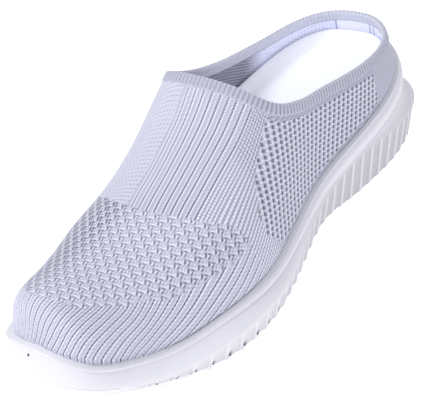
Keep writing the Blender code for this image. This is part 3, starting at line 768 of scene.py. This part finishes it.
def rib_patterns(rib, v):
    """Ribs with a groove between two thin lips, painted shade in the groove and painted highlight on the
    lips, and fine ribs at half the spacing.
    """
    turn = -rib
    groove = bump_of(turn, 0.0, 0.095)
    lip = bump_of(turn, 0.17, 0.075) + 0.6 * bump_of(turn, 0.83, 0.07)
    bead = wave_of(v / (1.35 * MM) + turn)
    fine = bump_of(2 * turn, 0.0, 0.2)
    gap = groove * (0.66 + 0.55 * bead)
    courses = (1 - soft_step(v, 16 * MM, 8 * MM)) * soft_step(v, -12 * MM, 8 * MM)
    return {
        "groove": groove + 0.25 * (1 - np.minimum(lip, 1)),
        "lip": lip,
        "gap": gap,
        "fading gap": gap * (1 - 0.45 * rise(rib, 4.5, 8.5)),
        "hatch": wave_of(v / (1.1 * MM) + 2 * turn),
        "middle line": bump_of(turn, 0.5, 0.08),
        "beads": fine * bead,
        "fine rib": fine * (0.6 + 0.4 * bead),
        "fine gap": fine * (0.45 + 0.75 * bead),
        "crest": bump_of(2 * turn, 0.5, 0.2) * (0.85 - 0.6 * bead),
        "course": bump_of(v / (2.1 * MM), 0.0, 0.2) * courses,
        "stitch": wave_of(v / (1.3 * MM)),
    }


def zigzag_patterns(x, arc, v):
    """Zigzag of crossing yarns, its dashes of painted shade wider and darker where the toe turns down on
    either side.
    """
    i, j = (here - start for here, start in zip(zigzag_turns(arc, v), zigzag_turns(*ZIGZAG_START)))
    steep = np.clip(0.5 * rise(x, 20 * MM, 36 * MM) + rise(-x, -4 * MM, 14 * MM), 0, 1)
    dash = strokes(ZIGZAG_CELL, ZIGZAG_GAPS, i, j, 1 + 0.9 * steep)
    yarn = strokes(ZIGZAG_CELL, ZIGZAG_YARNS, i, j)
    return {"weave": 0.5 + 0.5 * dash - 0.5 * yarn, "dash": dash * (0.78 + 0.4 * steep), "yarn": yarn}


def mesh_patterns(y, z, inset):
    """Eyelets in rows that drop a little to the rear, the painted shade in each hole deeper near the foot
    line.
    """
    (iy, iz), (jy, jz) = EYELET_TURNS
    i, j = iy * y - iz * z, jy * y - jz * z
    hole, knot = strokes(EYELET_CELL, EYELET_HOLES, i, j), strokes(EYELET_CELL, EYELET_KNOTS, i, j)
    low = 1 - rise(inset, 2 * MM, 10 * MM)
    return {"eyelet": hole - 0.2 * knot, "hole": hole * (0.8 + 0.2 * low), "knot": knot}


def knit_relief(knit, x, y, z, collar_gap, collar_run):
    """Knit at points of the form: height, painted shade in each gap and painted highlight on each ridge,
    coordinates.
    """
    arc, v = knit.read(knit.across, x, y), knit.read(knit.along, x, y)
    rib, inset = knit.rib(x, y, z), knit.foot_inset(x, y)
    weights = zones(knit, x, y, z, rib, inset, collar_gap)
    patterns = {
        "even": np.ones(x.shape),
        "dots": bump_of(arc / (1.9 * MM), 0.0, 0.22) * bump_of(v / (2.1 * MM), 0.0, 0.24),
        "slanting rib": bump_of((collar_run + 0.8 * collar_gap) / (1.9 * MM), 0.0, 0.22),
        "edge rib": bump_of((collar_gap + 0.5 * collar_run) / (1.6 * MM), 0.0, 0.22),
        **rib_patterns(rib, v), **zigzag_patterns(x, arc, v), **mesh_patterns(y, z, inset),
    }
    # dark is painted shade, bright painted highlight; the even rows add a tone of the whole zone.
    cuts, gap_shade_and_tone, ridge_highlight_and_tone = (sum(row[place] * weights[row[0]] * patterns[row[1]] for row in LAYERS if row[place])
                          for place in (2, 3, 4))
    return -cuts, np.clip(gap_shade_and_tone, 0, 1), np.clip(ridge_highlight_and_tone, 0, 1), arc, v


# Meshes
def add_values(mesh, name, values):
    """A number for each point of a mesh."""
    attribute = mesh.attributes.get(name) or mesh.attributes.new(name, "FLOAT", "POINT")
    attribute.data.foreach_set("value", np.asarray(values, dtype=np.float32).ravel())


def add_object(name, data):
    obj = bpy.data.objects.new(name, data)
    bpy.context.scene.collection.objects.link(obj)
    return obj


def add_piece(name, mesh, mat):
    """A finished mesh as a piece that rides on the shoe."""
    mesh.materials.append(mat)
    obj = add_object(name, mesh)
    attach(obj, "root")
    return obj


def grid_faces(across, down, turned=False):
    """Quads of a grid of points, across stations by down rows."""
    i = np.arange(across - 1)[:, None]
    k = np.arange(down - 1)[None, :]
    j = i + 1
    faces = np.stack((i * down + k, j * down + k, j * down + k + 1, i * down + k + 1), axis=-1).reshape(-1, 4)
    return faces if turned else faces[:, ::-1]


def grid_normals(grid, ahead=None):
    """Normals of a grid that goes from the heel by the inner side round the toe to the heel.

    Rows end at the ridge, where the first ahead stations of each side meet those of the other side.
    """
    left, right = np.roll(grid, 1, axis=0), np.roll(grid, -1, axis=0)
    left[0], right[-1] = grid[-2], grid[1]
    up = np.concatenate((grid[:, 1:], grid[:, -1:]), axis=1)
    down = np.concatenate((grid[:, :1], grid[:, :-1]), axis=1)
    if ahead is not None:
        middle = len(grid) // 2
        for k in range(-ahead, ahead + 1):
            up[middle + k, -1] = grid[middle - k, -2]
    normal = np.cross(up - down, right - left)
    return normal / np.maximum(np.linalg.norm(normal, axis=2), 1e-12)[..., None]


def add_grid(name, points, mat, uv, values, normals=None, turned=False):
    """A piece from a grid of points. uv, values and normals are grids too."""
    mesh = bpy.data.meshes.new(name)
    faces = grid_faces(*points.shape[:2], turned).astype(np.int32)
    mesh.vertices.add(points.shape[0] * points.shape[1])
    mesh.vertices.foreach_set("co", points.astype(np.float32).ravel())
    mesh.loops.add(faces.size)
    mesh.loops.foreach_set("vertex_index", faces.ravel())
    mesh.polygons.add(len(faces))
    mesh.polygons.foreach_set("loop_start", np.arange(0, faces.size, faces.shape[1], dtype=np.int32))
    mesh.update(calc_edges=True)
    layer = mesh.uv_layers.new(name="knit")
    layer.data.foreach_set("uv", (uv * 100).reshape(-1, 2).astype(np.float32)[faces.ravel()].ravel())
    for key, value in values.items():
        add_values(mesh, key, value)
    mesh.validate()
    mesh.shade_smooth()
    if normals is not None:
        mesh.normals_split_custom_set_from_vertices(normals.reshape(-1, 3).tolist())
    return add_piece(name, mesh, mat)


def loft(name, rings, mat, angle=35, shade=None):
    """A closed solid through rings, each an inner and an outer side from heel to toe.

    shade holds a number for each point.
    """
    last = len(rings[0][0]) - 1
    count = 2 * last
    points = np.vstack([np.vstack((inner, outer[last - 1:0:-1])) for inner, outer in rings])
    faces = []
    for k in range(len(rings) - 1):
        for i in range(count):
            j = (i + 1) % count
            faces.append((k * count + i, (k + 1) * count + i, (k + 1) * count + j, k * count + j))
    for base, upward in ((0, False), ((len(rings) - 1) * count, True)):
        for i in range(last):
            near = [i, i + 1, count - i - 1, (count - i) % count]
            face = [base + corner for corner in dict.fromkeys(near)]
            faces.append(tuple(reversed(face) if upward else face))
    mesh = bpy.data.meshes.new(name)
    mesh.from_pydata([tuple(point) for point in points], [], faces)
    if shade is not None:
        add_values(mesh, "shade", np.concatenate(shade))
    mesh.validate()
    mesh.shade_smooth()
    mesh.set_sharp_from_angle(angle=math.radians(angle))
    return add_piece(name, mesh, mat)


def both_sides(shares, inset_and_height):
    """A ring of a loft, inner and outer side, by a rule that gives inset and height at a station."""
    sides = []
    for inner in (True, False):
        edge = Edge(shares, inner)
        sides.append(edge.ring(*inset_and_height(edge.along)))
    return sides


def rim_height(along):
    """Top of the midsole's rim, which sits lower under the knit's swell than packed."""
    return rand_height(along) - column(RIM_FIT, along, 1) * MM


# Upper
def rim_swell(grid):
    """How far the knit swells over the rubber's rim, at each point of its grid."""
    shares = np.linspace(0, 1, 600)
    swell = np.interp(shares, [row[0] for row in RIM_FIT], [row[2] for row in RIM_FIT])
    sides = both_sides(shares, lambda along: (cup_inset(along), rim_height))
    rim = np.concatenate([np.column_stack((side, swell)) for side in sides])
    nearest = np.array([np.argmin(((rim[:, :2] - base[:2]) ** 2).sum(axis=1)) for base in grid[:, 0]])
    rim_top, most = rim[nearest, 2][:, None], rim[nearest, 3][:, None] * MM
    above = grid[..., 2] - rim_top
    return most * rise(above, 0.1 * MM, 0.6 * MM) * (1 - rise(above, 1 * MM, 11 * MM))


def build_upper(last, mat, lining_mat):
    """Outside of the knit in four pieces, its relief in the surface, and the inside of the wall."""
    inner, outer = upper_form(last, KNIT_AHEAD, KNIT_BEHIND, KNIT_ROWS)
    grid = np.concatenate((inner[::-1], outer[1:]))
    x, y, z = grid[..., 0], grid[..., 1], grid[..., 2]
    gap = np.clip(last.way_to_collar(x, y)[0], 0, 80 * MM)
    run = np.sign(x) * (y + 0.25 * (70 * MM - z))
    height, gap_shade_and_tone, ridge_highlight_and_tone, u, v = knit_relief(Knit(last), x, y, z, gap, run)
    height[:, 0] = 0
    normal = grid_normals(grid, KNIT_AHEAD)
    worn = grid + normal * (height + rim_swell(grid))[..., None]
    middle = len(grid) // 2
    for k in range(KNIT_AHEAD + 1):
        worn[middle + k, -1] = worn[middle - k, -1] = (worn[middle + k, -1] + worn[middle - k, -1]) / 2
    worn[0] = worn[-1] = (worn[0] + worn[-1]) / 2
    shown, uv = grid_normals(worn, KNIT_AHEAD), np.stack((u, v), axis=-1)
    pieces = {
        "inner_quarter_knit": slice(0, KNIT_BEHIND + 1),
        "inner_vamp_knit": slice(KNIT_BEHIND, middle + 1),
        "outer_vamp_knit": slice(middle, middle + KNIT_AHEAD + 1),
        "outer_quarter_knit": slice(middle + KNIT_AHEAD, len(grid)),
    }
    made = []
    for name, part in pieces.items():
        # Painted shade and painted highlight of the knit, as values for its material.
        values = {"gap_shade_and_tone": gap_shade_and_tone[part], "ridge_highlight_and_tone": ridge_highlight_and_tone[part]}
        made.append(add_grid(name, worn[part], mat, uv[part], values, shown[part]))
    across, down = LINING_STEPS
    thinned = np.ix_(np.unique(np.r_[0:len(grid):across, middle, len(grid) - 1]),
                     np.unique(np.r_[0:grid.shape[1]:down, grid.shape[1] - 1]))
    within = (grid - normal * WALL)[thinned]
    # Where the lining turns to ribs darkened with painted shade.
    under = rise(-y, *SHADED_RIBS_UNDER_VAMP)[thinned]
    add_grid("lining", within, lining_mat, uv[thinned], {"under": under}, turned=True)
    return made[0]


def build_collar(last, mat):
    """Ribbed band round the opening: up the outside, over the rolled edge and down the inside."""
    half = (WALL + BAND_STEP) / 2
    flat = BAND_WIDTH - half
    # Distance from the collar's edge and height over the form: outside, roll, inside
    rows = [(BAND_WIDTH + 0.7 * MM, -0.35 * MM)]
    rows += [(BAND_WIDTH + 0.35 * MM, 0.25 * BAND_STEP), (BAND_WIDTH, BAND_STEP)]
    rows += [(half + flat * (1 - k / 6), BAND_STEP) for k in range(1, 7)]
    rows += [(half - half * math.sin(math.pi * k / 10), half * math.cos(math.pi * k / 10) + BAND_STEP - half)
             for k in range(1, 10)]
    rows += [(half + flat * k / 4, -WALL) for k in range(0, 5)]
    rows += [(BAND_WIDTH + 1.2 * MM, -WALL + 0.3 * MM)]
    # Weight of each row: where the ribs are cut, and where the inside's yarn shows
    raised = np.array([0, .4, .9] + [1] * 20 + [0])
    inside = np.array([0] * 12 + [.2, .4, .6, .8, .9] + [1] * 7)
    first = 4
    inner, outer = (side[first:, -1] for side in upper_form(last, first, BAND_STATIONS, 2))
    x, y = np.concatenate((inner[::-1], outer[1:]))[:, :2].T
    base = []
    for wanted, out in rows:
        for _ in range(4):
            distance, way = last.way_to_collar(x, y)
            x, y = x + way[0] * (distance - wanted), y + way[1] * (distance - wanted)
        base.append(np.stack((x, y, last.height(x, y)), axis=1) + last.normal(x, y) * out)
    grid = np.array(base).transpose(1, 0, 2)
    edge = grid[:, 8]
    run = np.concatenate(([0], np.cumsum(np.linalg.norm(np.diff(edge, axis=0), axis=1))))
    phase = run / run[-1] * round(run[-1] / COLLAR_RIB)
    cut = bump_of(phase, 0.0, 0.22)[:, None]
    worn = grid - grid_normals(grid) * (cut * raised * COLLAR_RIB_CUT)[..., None]
    worn[0] = worn[-1] = (worn[0] + worn[-1]) / 2
    inside = inside * rise(edge[:, 1], 0, 40 * MM)[:, None]
    # dark: painted shade in the rib cuts over an even darker tone of the band. lit: painted highlight on the
    # crests and over the rolled edge, and a paler inside towards the heel.
    dark = (0.22 + 0.38 * cut) * raised * (1 - 0.8 * inside)
    lit = np.zeros(dark.shape)
    lit[:, 2:8] = 0.15 * bump_of(phase, 0.5, 0.25)[:, None]
    lit[:, 9:14] = 0.35 * (1 - 0.5 * cut)
    lit = np.maximum(lit, 0.5 * inside)
    down = np.array([row[0] for row in rows])
    uv = np.stack(np.broadcast_arrays(run[:, None], down[None, :]), axis=-1)
    add_grid("collar_band", worn, mat, uv, {"gap_shade_and_tone": dark, "ridge_highlight_and_tone": lit}, grid_normals(worn))


# Sole
def midsole_face(along):
    """Outside of the midsole from the flared edge up and over the rim: pairs of inset and height."""
    flare, rand, lean = flare_height(along), rim_height(along), rand_lean(along)
    corner = np.clip(2.6 * MM - column(RIM_FIT, along, 2) * MM, 0.5 * MM, 2.2 * MM)
    hollow, roll = column(SIDE, along, 5), column(SIDE, along, 6)
    crease = rand - ROLL_HEIGHT * roll
    deep = lean + ROLL_BULGE * roll
    rows = []
    for k in range(FACE_ROWS + 1):
        share = (k / FACE_ROWS) ** 1.3
        scooped, full = 1 - (1 - share) ** 2.2, share ** 2
        rows.append((deep * (hollow * scooped + (1 - hollow) * full), flare + (crease - flare) * share))
    for k in range(1, ROLL_ROWS + 1):
        share = 0.02 + 0.95 * (k / (ROLL_ROWS + 1))
        out = ROLL_BULGE * roll * 1.35 * math.sin(math.pi * share) ** 0.8
        rows.append((deep - out, crease + (rand - crease) * share))
    rows.append((lean + 0.02 * RAND_WALL, rand - 0.25 * MM))
    rounded = []
    for inset, height in rows:
        near = np.clip(1 - (rand - height) / (1.3 * corner), 0, 1)
        rounded.append((inset + corner * (1 - np.sqrt(1 - near ** 2)), height))
    rounded.append((lean + corner + 0.1 * (RAND_WALL - corner), rand))
    rounded.append((lean + 0.85 * RAND_WALL, rand + 0.05 * MM))
    rounded.append((cup_inset(along), rand + 0.1 * MM))
    return rounded


def build_midsole(mat):
    """Foam unit, with painted shade in the crease and in the hollow below it, strongest at the heel."""
    shares = np.linspace(0, 1, 281)
    rows = len(midsole_face(np.zeros(1)))
    rings = [both_sides(shares, lambda along: midsole_face(along)[k]) for k in range(rows)]
    rings.append(both_sides(shares, lambda along: (cup_inset(along), floor_height)))
    # Weight of the painted shade, strongest at the heel and fading towards the toe.
    crease = np.clip(column(SIDE, shares, 6), 0, 1) * (1.15 - 0.95 * rise(shares, 0.45, 0.70))
    crease = np.concatenate((crease, crease[-2:0:-1]))
    shade = []
    for k in range(len(rings)):
        hollow = rise(k, 1, 6) * (1 - rise(k, FACE_ROWS - 2, FACE_ROWS + 3))
        shade.append(crease * (0.62 * math.exp(-((k - FACE_ROWS) / 3.0) ** 2) + 0.24 * hollow))
    return loft("midsole_foam", rings, mat, 50, shade)


def build_insole(last, mat):
    """Sockliner with a round top edge that turns up round the heel and the arch."""
    shares = np.linspace(0, 1, 201)

    def top(along, share=1.0):
        return footbed_height(along) + share * INSOLE_RIM * (1 - rise(along, *RIM_FADE))

    def inset(along, more=0.0):
        return cup_inset(along) + GAP + WALL + INSOLE_PLAY + last.lean(along, top(along)) + more

    rules = [
        lambda along: (inset(along), lambda at: floor_height(at) + GAP),
        lambda along: (inset(along), lambda at: top(at) - INSOLE_EDGE),
    ]
    for k in range(1, 6):
        turn = math.pi / 2 * k / 5
        rules.append(lambda along, turn=turn: (inset(along, 0.8 * INSOLE_EDGE * (1 - math.cos(turn))),
                                               lambda at: top(at) - INSOLE_EDGE * (1 - math.sin(turn))))
    for k in range(1, 9):
        share = k / 8
        fall = 1 - share * share * (3 - 2 * share)
        rules.append(lambda along, share=share, fall=fall: (inset(along, INSOLE_EDGE * (0.8 + 4.2 * share)),
                                                            lambda at: top(at, fall)))
    return loft("sockliner", [both_sides(shares, rule) for rule in rules], mat, 60)


def build_outsole(last, mat):
    """Ribbed band and tread. Each rib is a flat that slants in and ends at a narrow ridge."""
    count = round(Edge([0.0, 1.0], True).length / RIB_PITCH)
    profile = ((0.00, 0.0), (0.05, 0.0), (0.12, 0.05), (0.19, 0.35), (0.26, 0.90), (0.36, 1.0), (0.60, 0.97),
               (0.78, 0.88), (0.91, 0.68), (0.96, 0.25))
    shares = np.array([(rib + phase) / count for rib in range(count) for phase, depth in profile] + [1.0])
    depths = np.array([depth for rib in range(count) for phase, depth in profile] + [0.0])

    def flute(along):
        return RIB_DEPTH * depths * (1 - rise(along, *RIB_FADE))

    def bevel(along, turn):
        inset = BAND_TAPER + EDGE_ROUND * (1 - math.sin(turn)) + flute(along) * math.sin(turn)
        return inset, underside_height(along) + EDGE_ROUND * (1 - math.cos(turn))

    def band(along, share):
        def height(at):
            low = underside_height(at)
            return low + EDGE_ROUND + (flare_height(at) - GAP - low - EDGE_ROUND) * share

        return BAND_TAPER + (GAP - BAND_TAPER) * share + flute(along), height

    rings = [both_sides(shares, lambda along: (BAND_TAPER + EDGE_ROUND, underside_height(along)))]
    rings += [both_sides(shares, lambda along: bevel(along, math.pi / 2 * k / 4)) for k in range(1, 5)]
    rings += [both_sides(shares, lambda along: band(along, k / 8)) for k in range(1, 9)]
    obj = loft("outsole_rubber", rings, mat, 28)
    tool, grooves = groove_bars(last)
    cut = obj.modifiers.new("grooves", "BOOLEAN")
    cut.operation, cut.solver, cut.object = "DIFFERENCE", "EXACT", tool
    bpy.context.view_layer.update()
    solid = bpy.data.meshes.new_from_object(obj.evaluated_get(bpy.context.evaluated_depsgraph_get()))
    obj.modifiers.clear()
    obj.data = solid
    bpy.data.objects.remove(tool)
    shade_outsole(solid, count, grooves)
    return obj


def groove_bars(last):
    """Bars that cut the grooves of the tread, and each groove's place along the foot and top."""
    form = bmesh.new()
    grooves = []
    for start, end, length in GROOVE_SPANS:
        for k in range(int((end - start) * SOLE_LENGTH / RIB_PITCH) + 1):
            along = start + k * RIB_PITCH / SOLE_LENGTH
            y = (0.5 - along) * SOLE_LENGTH
            top = float(underside_height(np.array([along]))[0]) + GROOVE_DEPTH
            size = (length, GROOVE_WIDTH, 4 * GROOVE_DEPTH)
            bar = bmesh.ops.create_cube(form, size=1.0)["verts"]
            bmesh.ops.scale(form, verts=bar, vec=size)
            bmesh.ops.translate(form, verts=bar, vec=(last.middle(along), y, top - size[2] / 2))
            grooves.append((y, top))
    mesh = bpy.data.meshes.new("groove bars")
    form.to_mesh(mesh)
    form.free()
    return add_object("groove bars", mesh), grooves


def shade_outsole(mesh, ribs, grooves):
    """Painted shade on the flats of the ribbed band, lighter towards the toe, and full painted shade in the
    grooves of the forefoot's tread.
    """
    points = np.empty(len(mesh.vertices) * 3)
    mesh.vertices.foreach_get("co", points)
    points = points.reshape(-1, 3)
    shares = np.linspace(0, 1, ribs * 20 + 1)
    edge = np.vstack([Edge(shares, inner).point for inner in (True, False)])
    nearest = np.concatenate([np.argmin(((block[:, None, :2] - edge[None]) ** 2).sum(axis=2), axis=1)
                              for block in np.array_split(points, max(1, len(points) // 2000))])
    place = (np.tile(shares * ribs, 2) % 1.0)[nearest]
    along = np.clip(0.5 - points[:, 1] / SOLE_LENGTH, 0, 1)
    # Painted shade on each flat, lighter towards the toe; full painted shade in the grooves below.
    flat = rise(place, 0.13, 0.20) * (1 - rise(place, 0.94, 0.98)) * (1 - rise(along, *RIB_FADE))
    shade = flat * (0.42 - 0.30 * rise(along, 0.40, 0.75))
    for y, top in grooves:
        inside = (np.abs(points[:, 1] - y) < 0.55 * GROOVE_WIDTH) & (points[:, 2] < top + 0.1 * MM)
        shade = np.where(inside & (points[:, 1] < 10 * MM), 1.0, shade)
    add_values(mesh, "shade", shade)


# Materials
def feed(tree, socket, value):
    """Sets an input to a value, or links it to another node's output."""
    if isinstance(value, bpy.types.NodeSocket):
        tree.links.new(value, socket)
    else:
        socket.default_value = value


def new_node(tree, kind, **values):
    """A node with its inputs set or linked by name."""
    node = tree.nodes.new(kind)
    for key, value in values.items():
        feed(tree, node.inputs[key.replace("_", " ")], value)
    return node


def counted(tree, operation, *values):
    """A number worked out from numbers or outputs."""
    node = tree.nodes.new("ShaderNodeMath")
    node.operation = operation
    for socket, value in zip(node.inputs, values):
        feed(tree, socket, value)
    return node.outputs["Value"]


def mixed(tree, factor, first, second):
    """First colour where the factor is 0, second where it is 1."""
    mix = tree.nodes.new("ShaderNodeMix")
    mix.data_type = "RGBA"
    feed(tree, mix.inputs["Factor"], factor)
    for key, colour in (("A", first), ("B", second)):
        feed(tree, mix.inputs[key], (*colour, 1) if isinstance(colour, tuple) else colour)
    return mix.outputs["Result"]


def scaled(tree, colour, factor):
    node = tree.nodes.new("ShaderNodeVectorMath")
    node.operation = "SCALE"
    feed(tree, node.inputs[0], colour)
    feed(tree, node.inputs["Scale"], factor)
    return node.outputs["Vector"]


def values_of(tree, name):
    """An attribute of the piece."""
    node = tree.nodes.new("ShaderNodeAttribute")
    node.attribute_name = name
    return node.outputs["Fac"]


def knit_uv(tree):
    """Coordinates of the knit in cm."""
    node = tree.nodes.new("ShaderNodeUVMap")
    node.uv_map = "knit"
    return node.outputs["UV"]


def place_of(tree):
    return tree.nodes.new("ShaderNodeTexCoord").outputs["Object"]


def add_bump(tree, shader, height, strength, distance):
    bump = new_node(tree, "ShaderNodeBump", Height=height, Strength=strength, Distance=distance)
    feed(tree, shader.inputs["Normal"], bump.outputs["Normal"])


def new_material(name, colour, roughness):
    """A material with its node tree and its shader."""
    mat = bpy.data.materials.new(name)
    mat.use_nodes = True
    shader = mat.node_tree.nodes["Principled BSDF"]
    shader.inputs["Base Color"].default_value = (*colour, 1.0)
    shader.inputs["Roughness"].default_value = roughness
    return mat, mat.node_tree, shader


def knit_material():
    """Knitted yarn: painted highlight on each ridge, painted shade in each gap, with a fine stitch in the
    yarn.
    """
    mat, tree, shader = new_material("knit", YARN, 0.88)
    shader.inputs["Sheen Weight"].default_value = 0.15
    shader.inputs["Sheen Roughness"].default_value = 0.5
    shader.inputs["Specular IOR Level"].default_value = 0.2
    wide, long = STITCH_CM
    stitch = new_node(tree, "ShaderNodeMapping", Vector=knit_uv(tree), Scale=(1.0 / wide, 1.0 / long, 1.0))
    wave = new_node(tree, "ShaderNodeTexWave", Vector=stitch.outputs["Vector"], Scale=WAVE_SCALE,
                    Distortion=1.2, Detail=1.0, Detail_Scale=2.0)
    wave.wave_type, wave.bands_direction = "BANDS", "DIAGONAL"
    noise = new_node(tree, "ShaderNodeTexNoise", Vector=place_of(tree), Scale=900.0, Detail=3.0)
    # Painted highlight on each ridge, painted shade in each gap.
    base = mixed(tree, values_of(tree, "ridge_highlight_and_tone"), YARN, YARN_RIDGE_HIGHLIGHT)
    base = mixed(tree, values_of(tree, "gap_shade_and_tone"), base, YARN_GAP_SHADE)
    tone = new_node(tree, "ShaderNodeMapRange", Value=wave.outputs["Fac"], To_Min=0.93, To_Max=1.05)
    feed(tree, shader.inputs["Base Color"], scaled(tree, base, tone.outputs["Result"]))
    height = counted(tree, "MULTIPLY_ADD", noise.outputs["Fac"], 0.6, wave.outputs["Fac"])
    add_bump(tree, shader, height, 0.35, 0.0002)
    return mat


def lining_material():
    """Inside of the knit: pinholes holding painted shade at the opening, ribs darkened with painted shade
    below the vamp, seams and a patch at the heel.
    """
    mat, tree, shader = new_material("knit lining", LINING, 0.9)
    uv = knit_uv(tree)
    pitch = new_node(tree, "ShaderNodeMapping", Vector=uv, Scale=(1.0 / PINHOLE_CM, 1.0 / PINHOLE_CM, 1.0))
    cells = new_node(tree, "ShaderNodeTexVoronoi", Vector=pitch.outputs["Vector"], Randomness=0.0, Scale=1.0)
    cells.feature = "F1"
    away = cells.outputs["Distance"]
    cloth = new_node(tree, "ShaderNodeMapRange", Value=away, From_Min=0.16, From_Max=0.30).outputs["Result"]
    place = new_node(tree, "ShaderNodeSeparateXYZ", Vector=place_of(tree)).outputs
    heel = counted(tree, "COMPARE", place["Y"], *HEEL_PATCH)
    left, right = HEEL_SEAMS[:2]
    patch = counted(tree, "COMPARE", place["X"], (left + right) / 2, (right - left) / 2)
    patch = counted(tree, "MULTIPLY", patch, heel)
    seams = 0.0
    for seam in HEEL_SEAMS:
        seams = counted(tree, "MAXIMUM", seams, counted(tree, "COMPARE", place["X"], seam, SEAM_HALF))
    # Painted shade in each pinhole.
    pinned = mixed(tree, counted(tree, "MAXIMUM", cloth, patch), LINING_PINHOLE_SHADE, LINING)
    ribs = new_node(tree, "ShaderNodeTexWave", Vector=uv, Scale=WAVE_SCALE / LINING_RIB_CM)
    ribs.wave_type, ribs.bands_direction = "BANDS", "X"
    # Ribs below the vamp, darkened with painted shade.
    ribs_in_shade = mixed(tree, ribs.outputs["Fac"], LINING_GROOVE_IN_SHADE, LINING_RIB_IN_SHADE)
    base = mixed(tree, values_of(tree, "under"), pinned, ribs_in_shade)
    base = mixed(tree, counted(tree, "MULTIPLY", seams, heel), base, LINING_SEAM)
    feed(tree, shader.inputs["Base Color"], base)
    add_bump(tree, shader, cloth, 0.3, 0.0003)
    return mat


def moulded_material(name, colour, roughness, grain, depth, shaded=None, vent=None):
    """Moulded foam or rubber: a colour with a fine skin, a colour of painted shade where the shade attribute
    asks for it, and a painted dark spot of shade for the vent's hole.
    """
    mat, tree, shader = new_material(name, colour, roughness)
    shader.inputs["Specular IOR Level"].default_value = 0.35
    place = place_of(tree)
    fine = new_node(tree, "ShaderNodeTexNoise", Vector=place, Scale=grain, Detail=4.0)
    broad = new_node(tree, "ShaderNodeTexNoise", Vector=place, Scale=30.0, Detail=2.0)
    tone = new_node(tree, "ShaderNodeMapRange", Value=broad.outputs["Fac"], To_Min=0.975, To_Max=1.01)
    tone = tone.outputs["Result"]
    # Painted dark spot of shade standing for the vent's hole.
    if vent is not None:
        away = tree.nodes.new("ShaderNodeVectorMath")
        away.operation = "DISTANCE"
        feed(tree, away.inputs[0], place)
        feed(tree, away.inputs[1], vent)
        dark, pale = VENT_EDGE
        vent_hole_shade = new_node(tree, "ShaderNodeMapRange", Value=away.outputs["Value"], From_Min=dark,
                          From_Max=pale, To_Min=0.05)
        tone = counted(tree, "MULTIPLY", tone, vent_hole_shade.outputs["Result"])
    # Painted shade where the shade attribute asks for it.
    base = mixed(tree, values_of(tree, "shade"), colour, shaded) if shaded else colour
    feed(tree, shader.inputs["Base Color"], scaled(tree, base, tone))
    add_bump(tree, shader, fine.outputs["Fac"], 0.25, depth)
    return mat


# Stage
def build_stage():
    """Pale floor, even sky and two soft lamps."""
    far = 6.0
    mesh = bpy.data.meshes.new("floor")
    mesh.from_pydata([(-far, -far, 0), (far, -far, 0), (far, far, 0), (-far, far, 0)], [], [(0, 1, 2, 3)])
    pale, _, shader = new_material("pale floor", (0.94, 0.94, 0.94), 0.9)
    shader.inputs["Emission Color"].default_value = (1, 1, 1, 1)
    shader.inputs["Emission Strength"].default_value = 0.45
    mesh.materials.append(pale)
    add_object("floor", mesh)
    world = bpy.data.worlds.new("studio")
    world.use_nodes = True
    sky = world.node_tree.nodes["Background"]
    sky.inputs["Color"].default_value = (0.95, 0.96, 1.0, 1)
    sky.inputs["Strength"].default_value = 0.70
    bpy.context.scene.world = world
    for name, place, size, watts in LAMPS:
        lamp = bpy.data.lights.new(name, "AREA")
        lamp.shape, lamp.size, lamp.energy = "DISK", size, watts
        obj = add_object(name, lamp)
        obj.location = place
        obj.rotation_mode = "QUATERNION"
        obj.rotation_quaternion = (Vector(LAMP_AIM) - Vector(place)).to_track_quat("-Z", "Y")


def build_camera():
    """Looks over the inner side of the toe, from above, turned a little."""
    turn, lift, roll = CAMERA_TURN, CAMERA_LIFT, CAMERA_ROLL
    back = Vector((math.sin(turn) * math.cos(lift), -math.cos(turn) * math.cos(lift), math.sin(lift)))
    right = Vector((math.cos(turn), math.sin(turn), 0))
    up = back.cross(right)
    across = right * math.cos(roll) + up * math.sin(roll)
    upward = up * math.cos(roll) - right * math.sin(roll)
    camera = add_object("camera", bpy.data.cameras.new("camera"))
    camera.matrix_world = Matrix((across, upward, back)).transposed().to_4x4()
    camera.location = Vector(CAMERA_AIM) + back * CAMERA_DISTANCE
    camera.data.sensor_width = SENSOR_WIDTH
    camera.data.lens = CAMERA_FOCUS * SENSOR_WIDTH
    camera.data.clip_start, camera.data.clip_end = 0.01, 20
    bpy.context.scene.camera = camera


# Dressing the shoe
last = Last()
yarn = knit_material()
skin = build_upper(last, yarn, lining_material())
build_collar(last, yarn)
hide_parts("upper")
midsole = build_midsole(moulded_material("midsole foam", FOAM, 0.45, 1600, 0.00004, FOAM_CREASE_SHADE, VENT))
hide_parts("midsole")
sockliner = build_insole(last, moulded_material("sockliner foam", SOCKLINER, 0.8, 2500, 0.0001))
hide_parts("insole")
outsole = build_outsole(last, moulded_material("outsole rubber", RUBBER, 0.5, 1200, 0.00005, RUBBER_FLAT_SHADE))
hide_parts("outsole")
build_stage()
build_camera()
bpy.context.scene.view_settings.view_transform = "Standard"
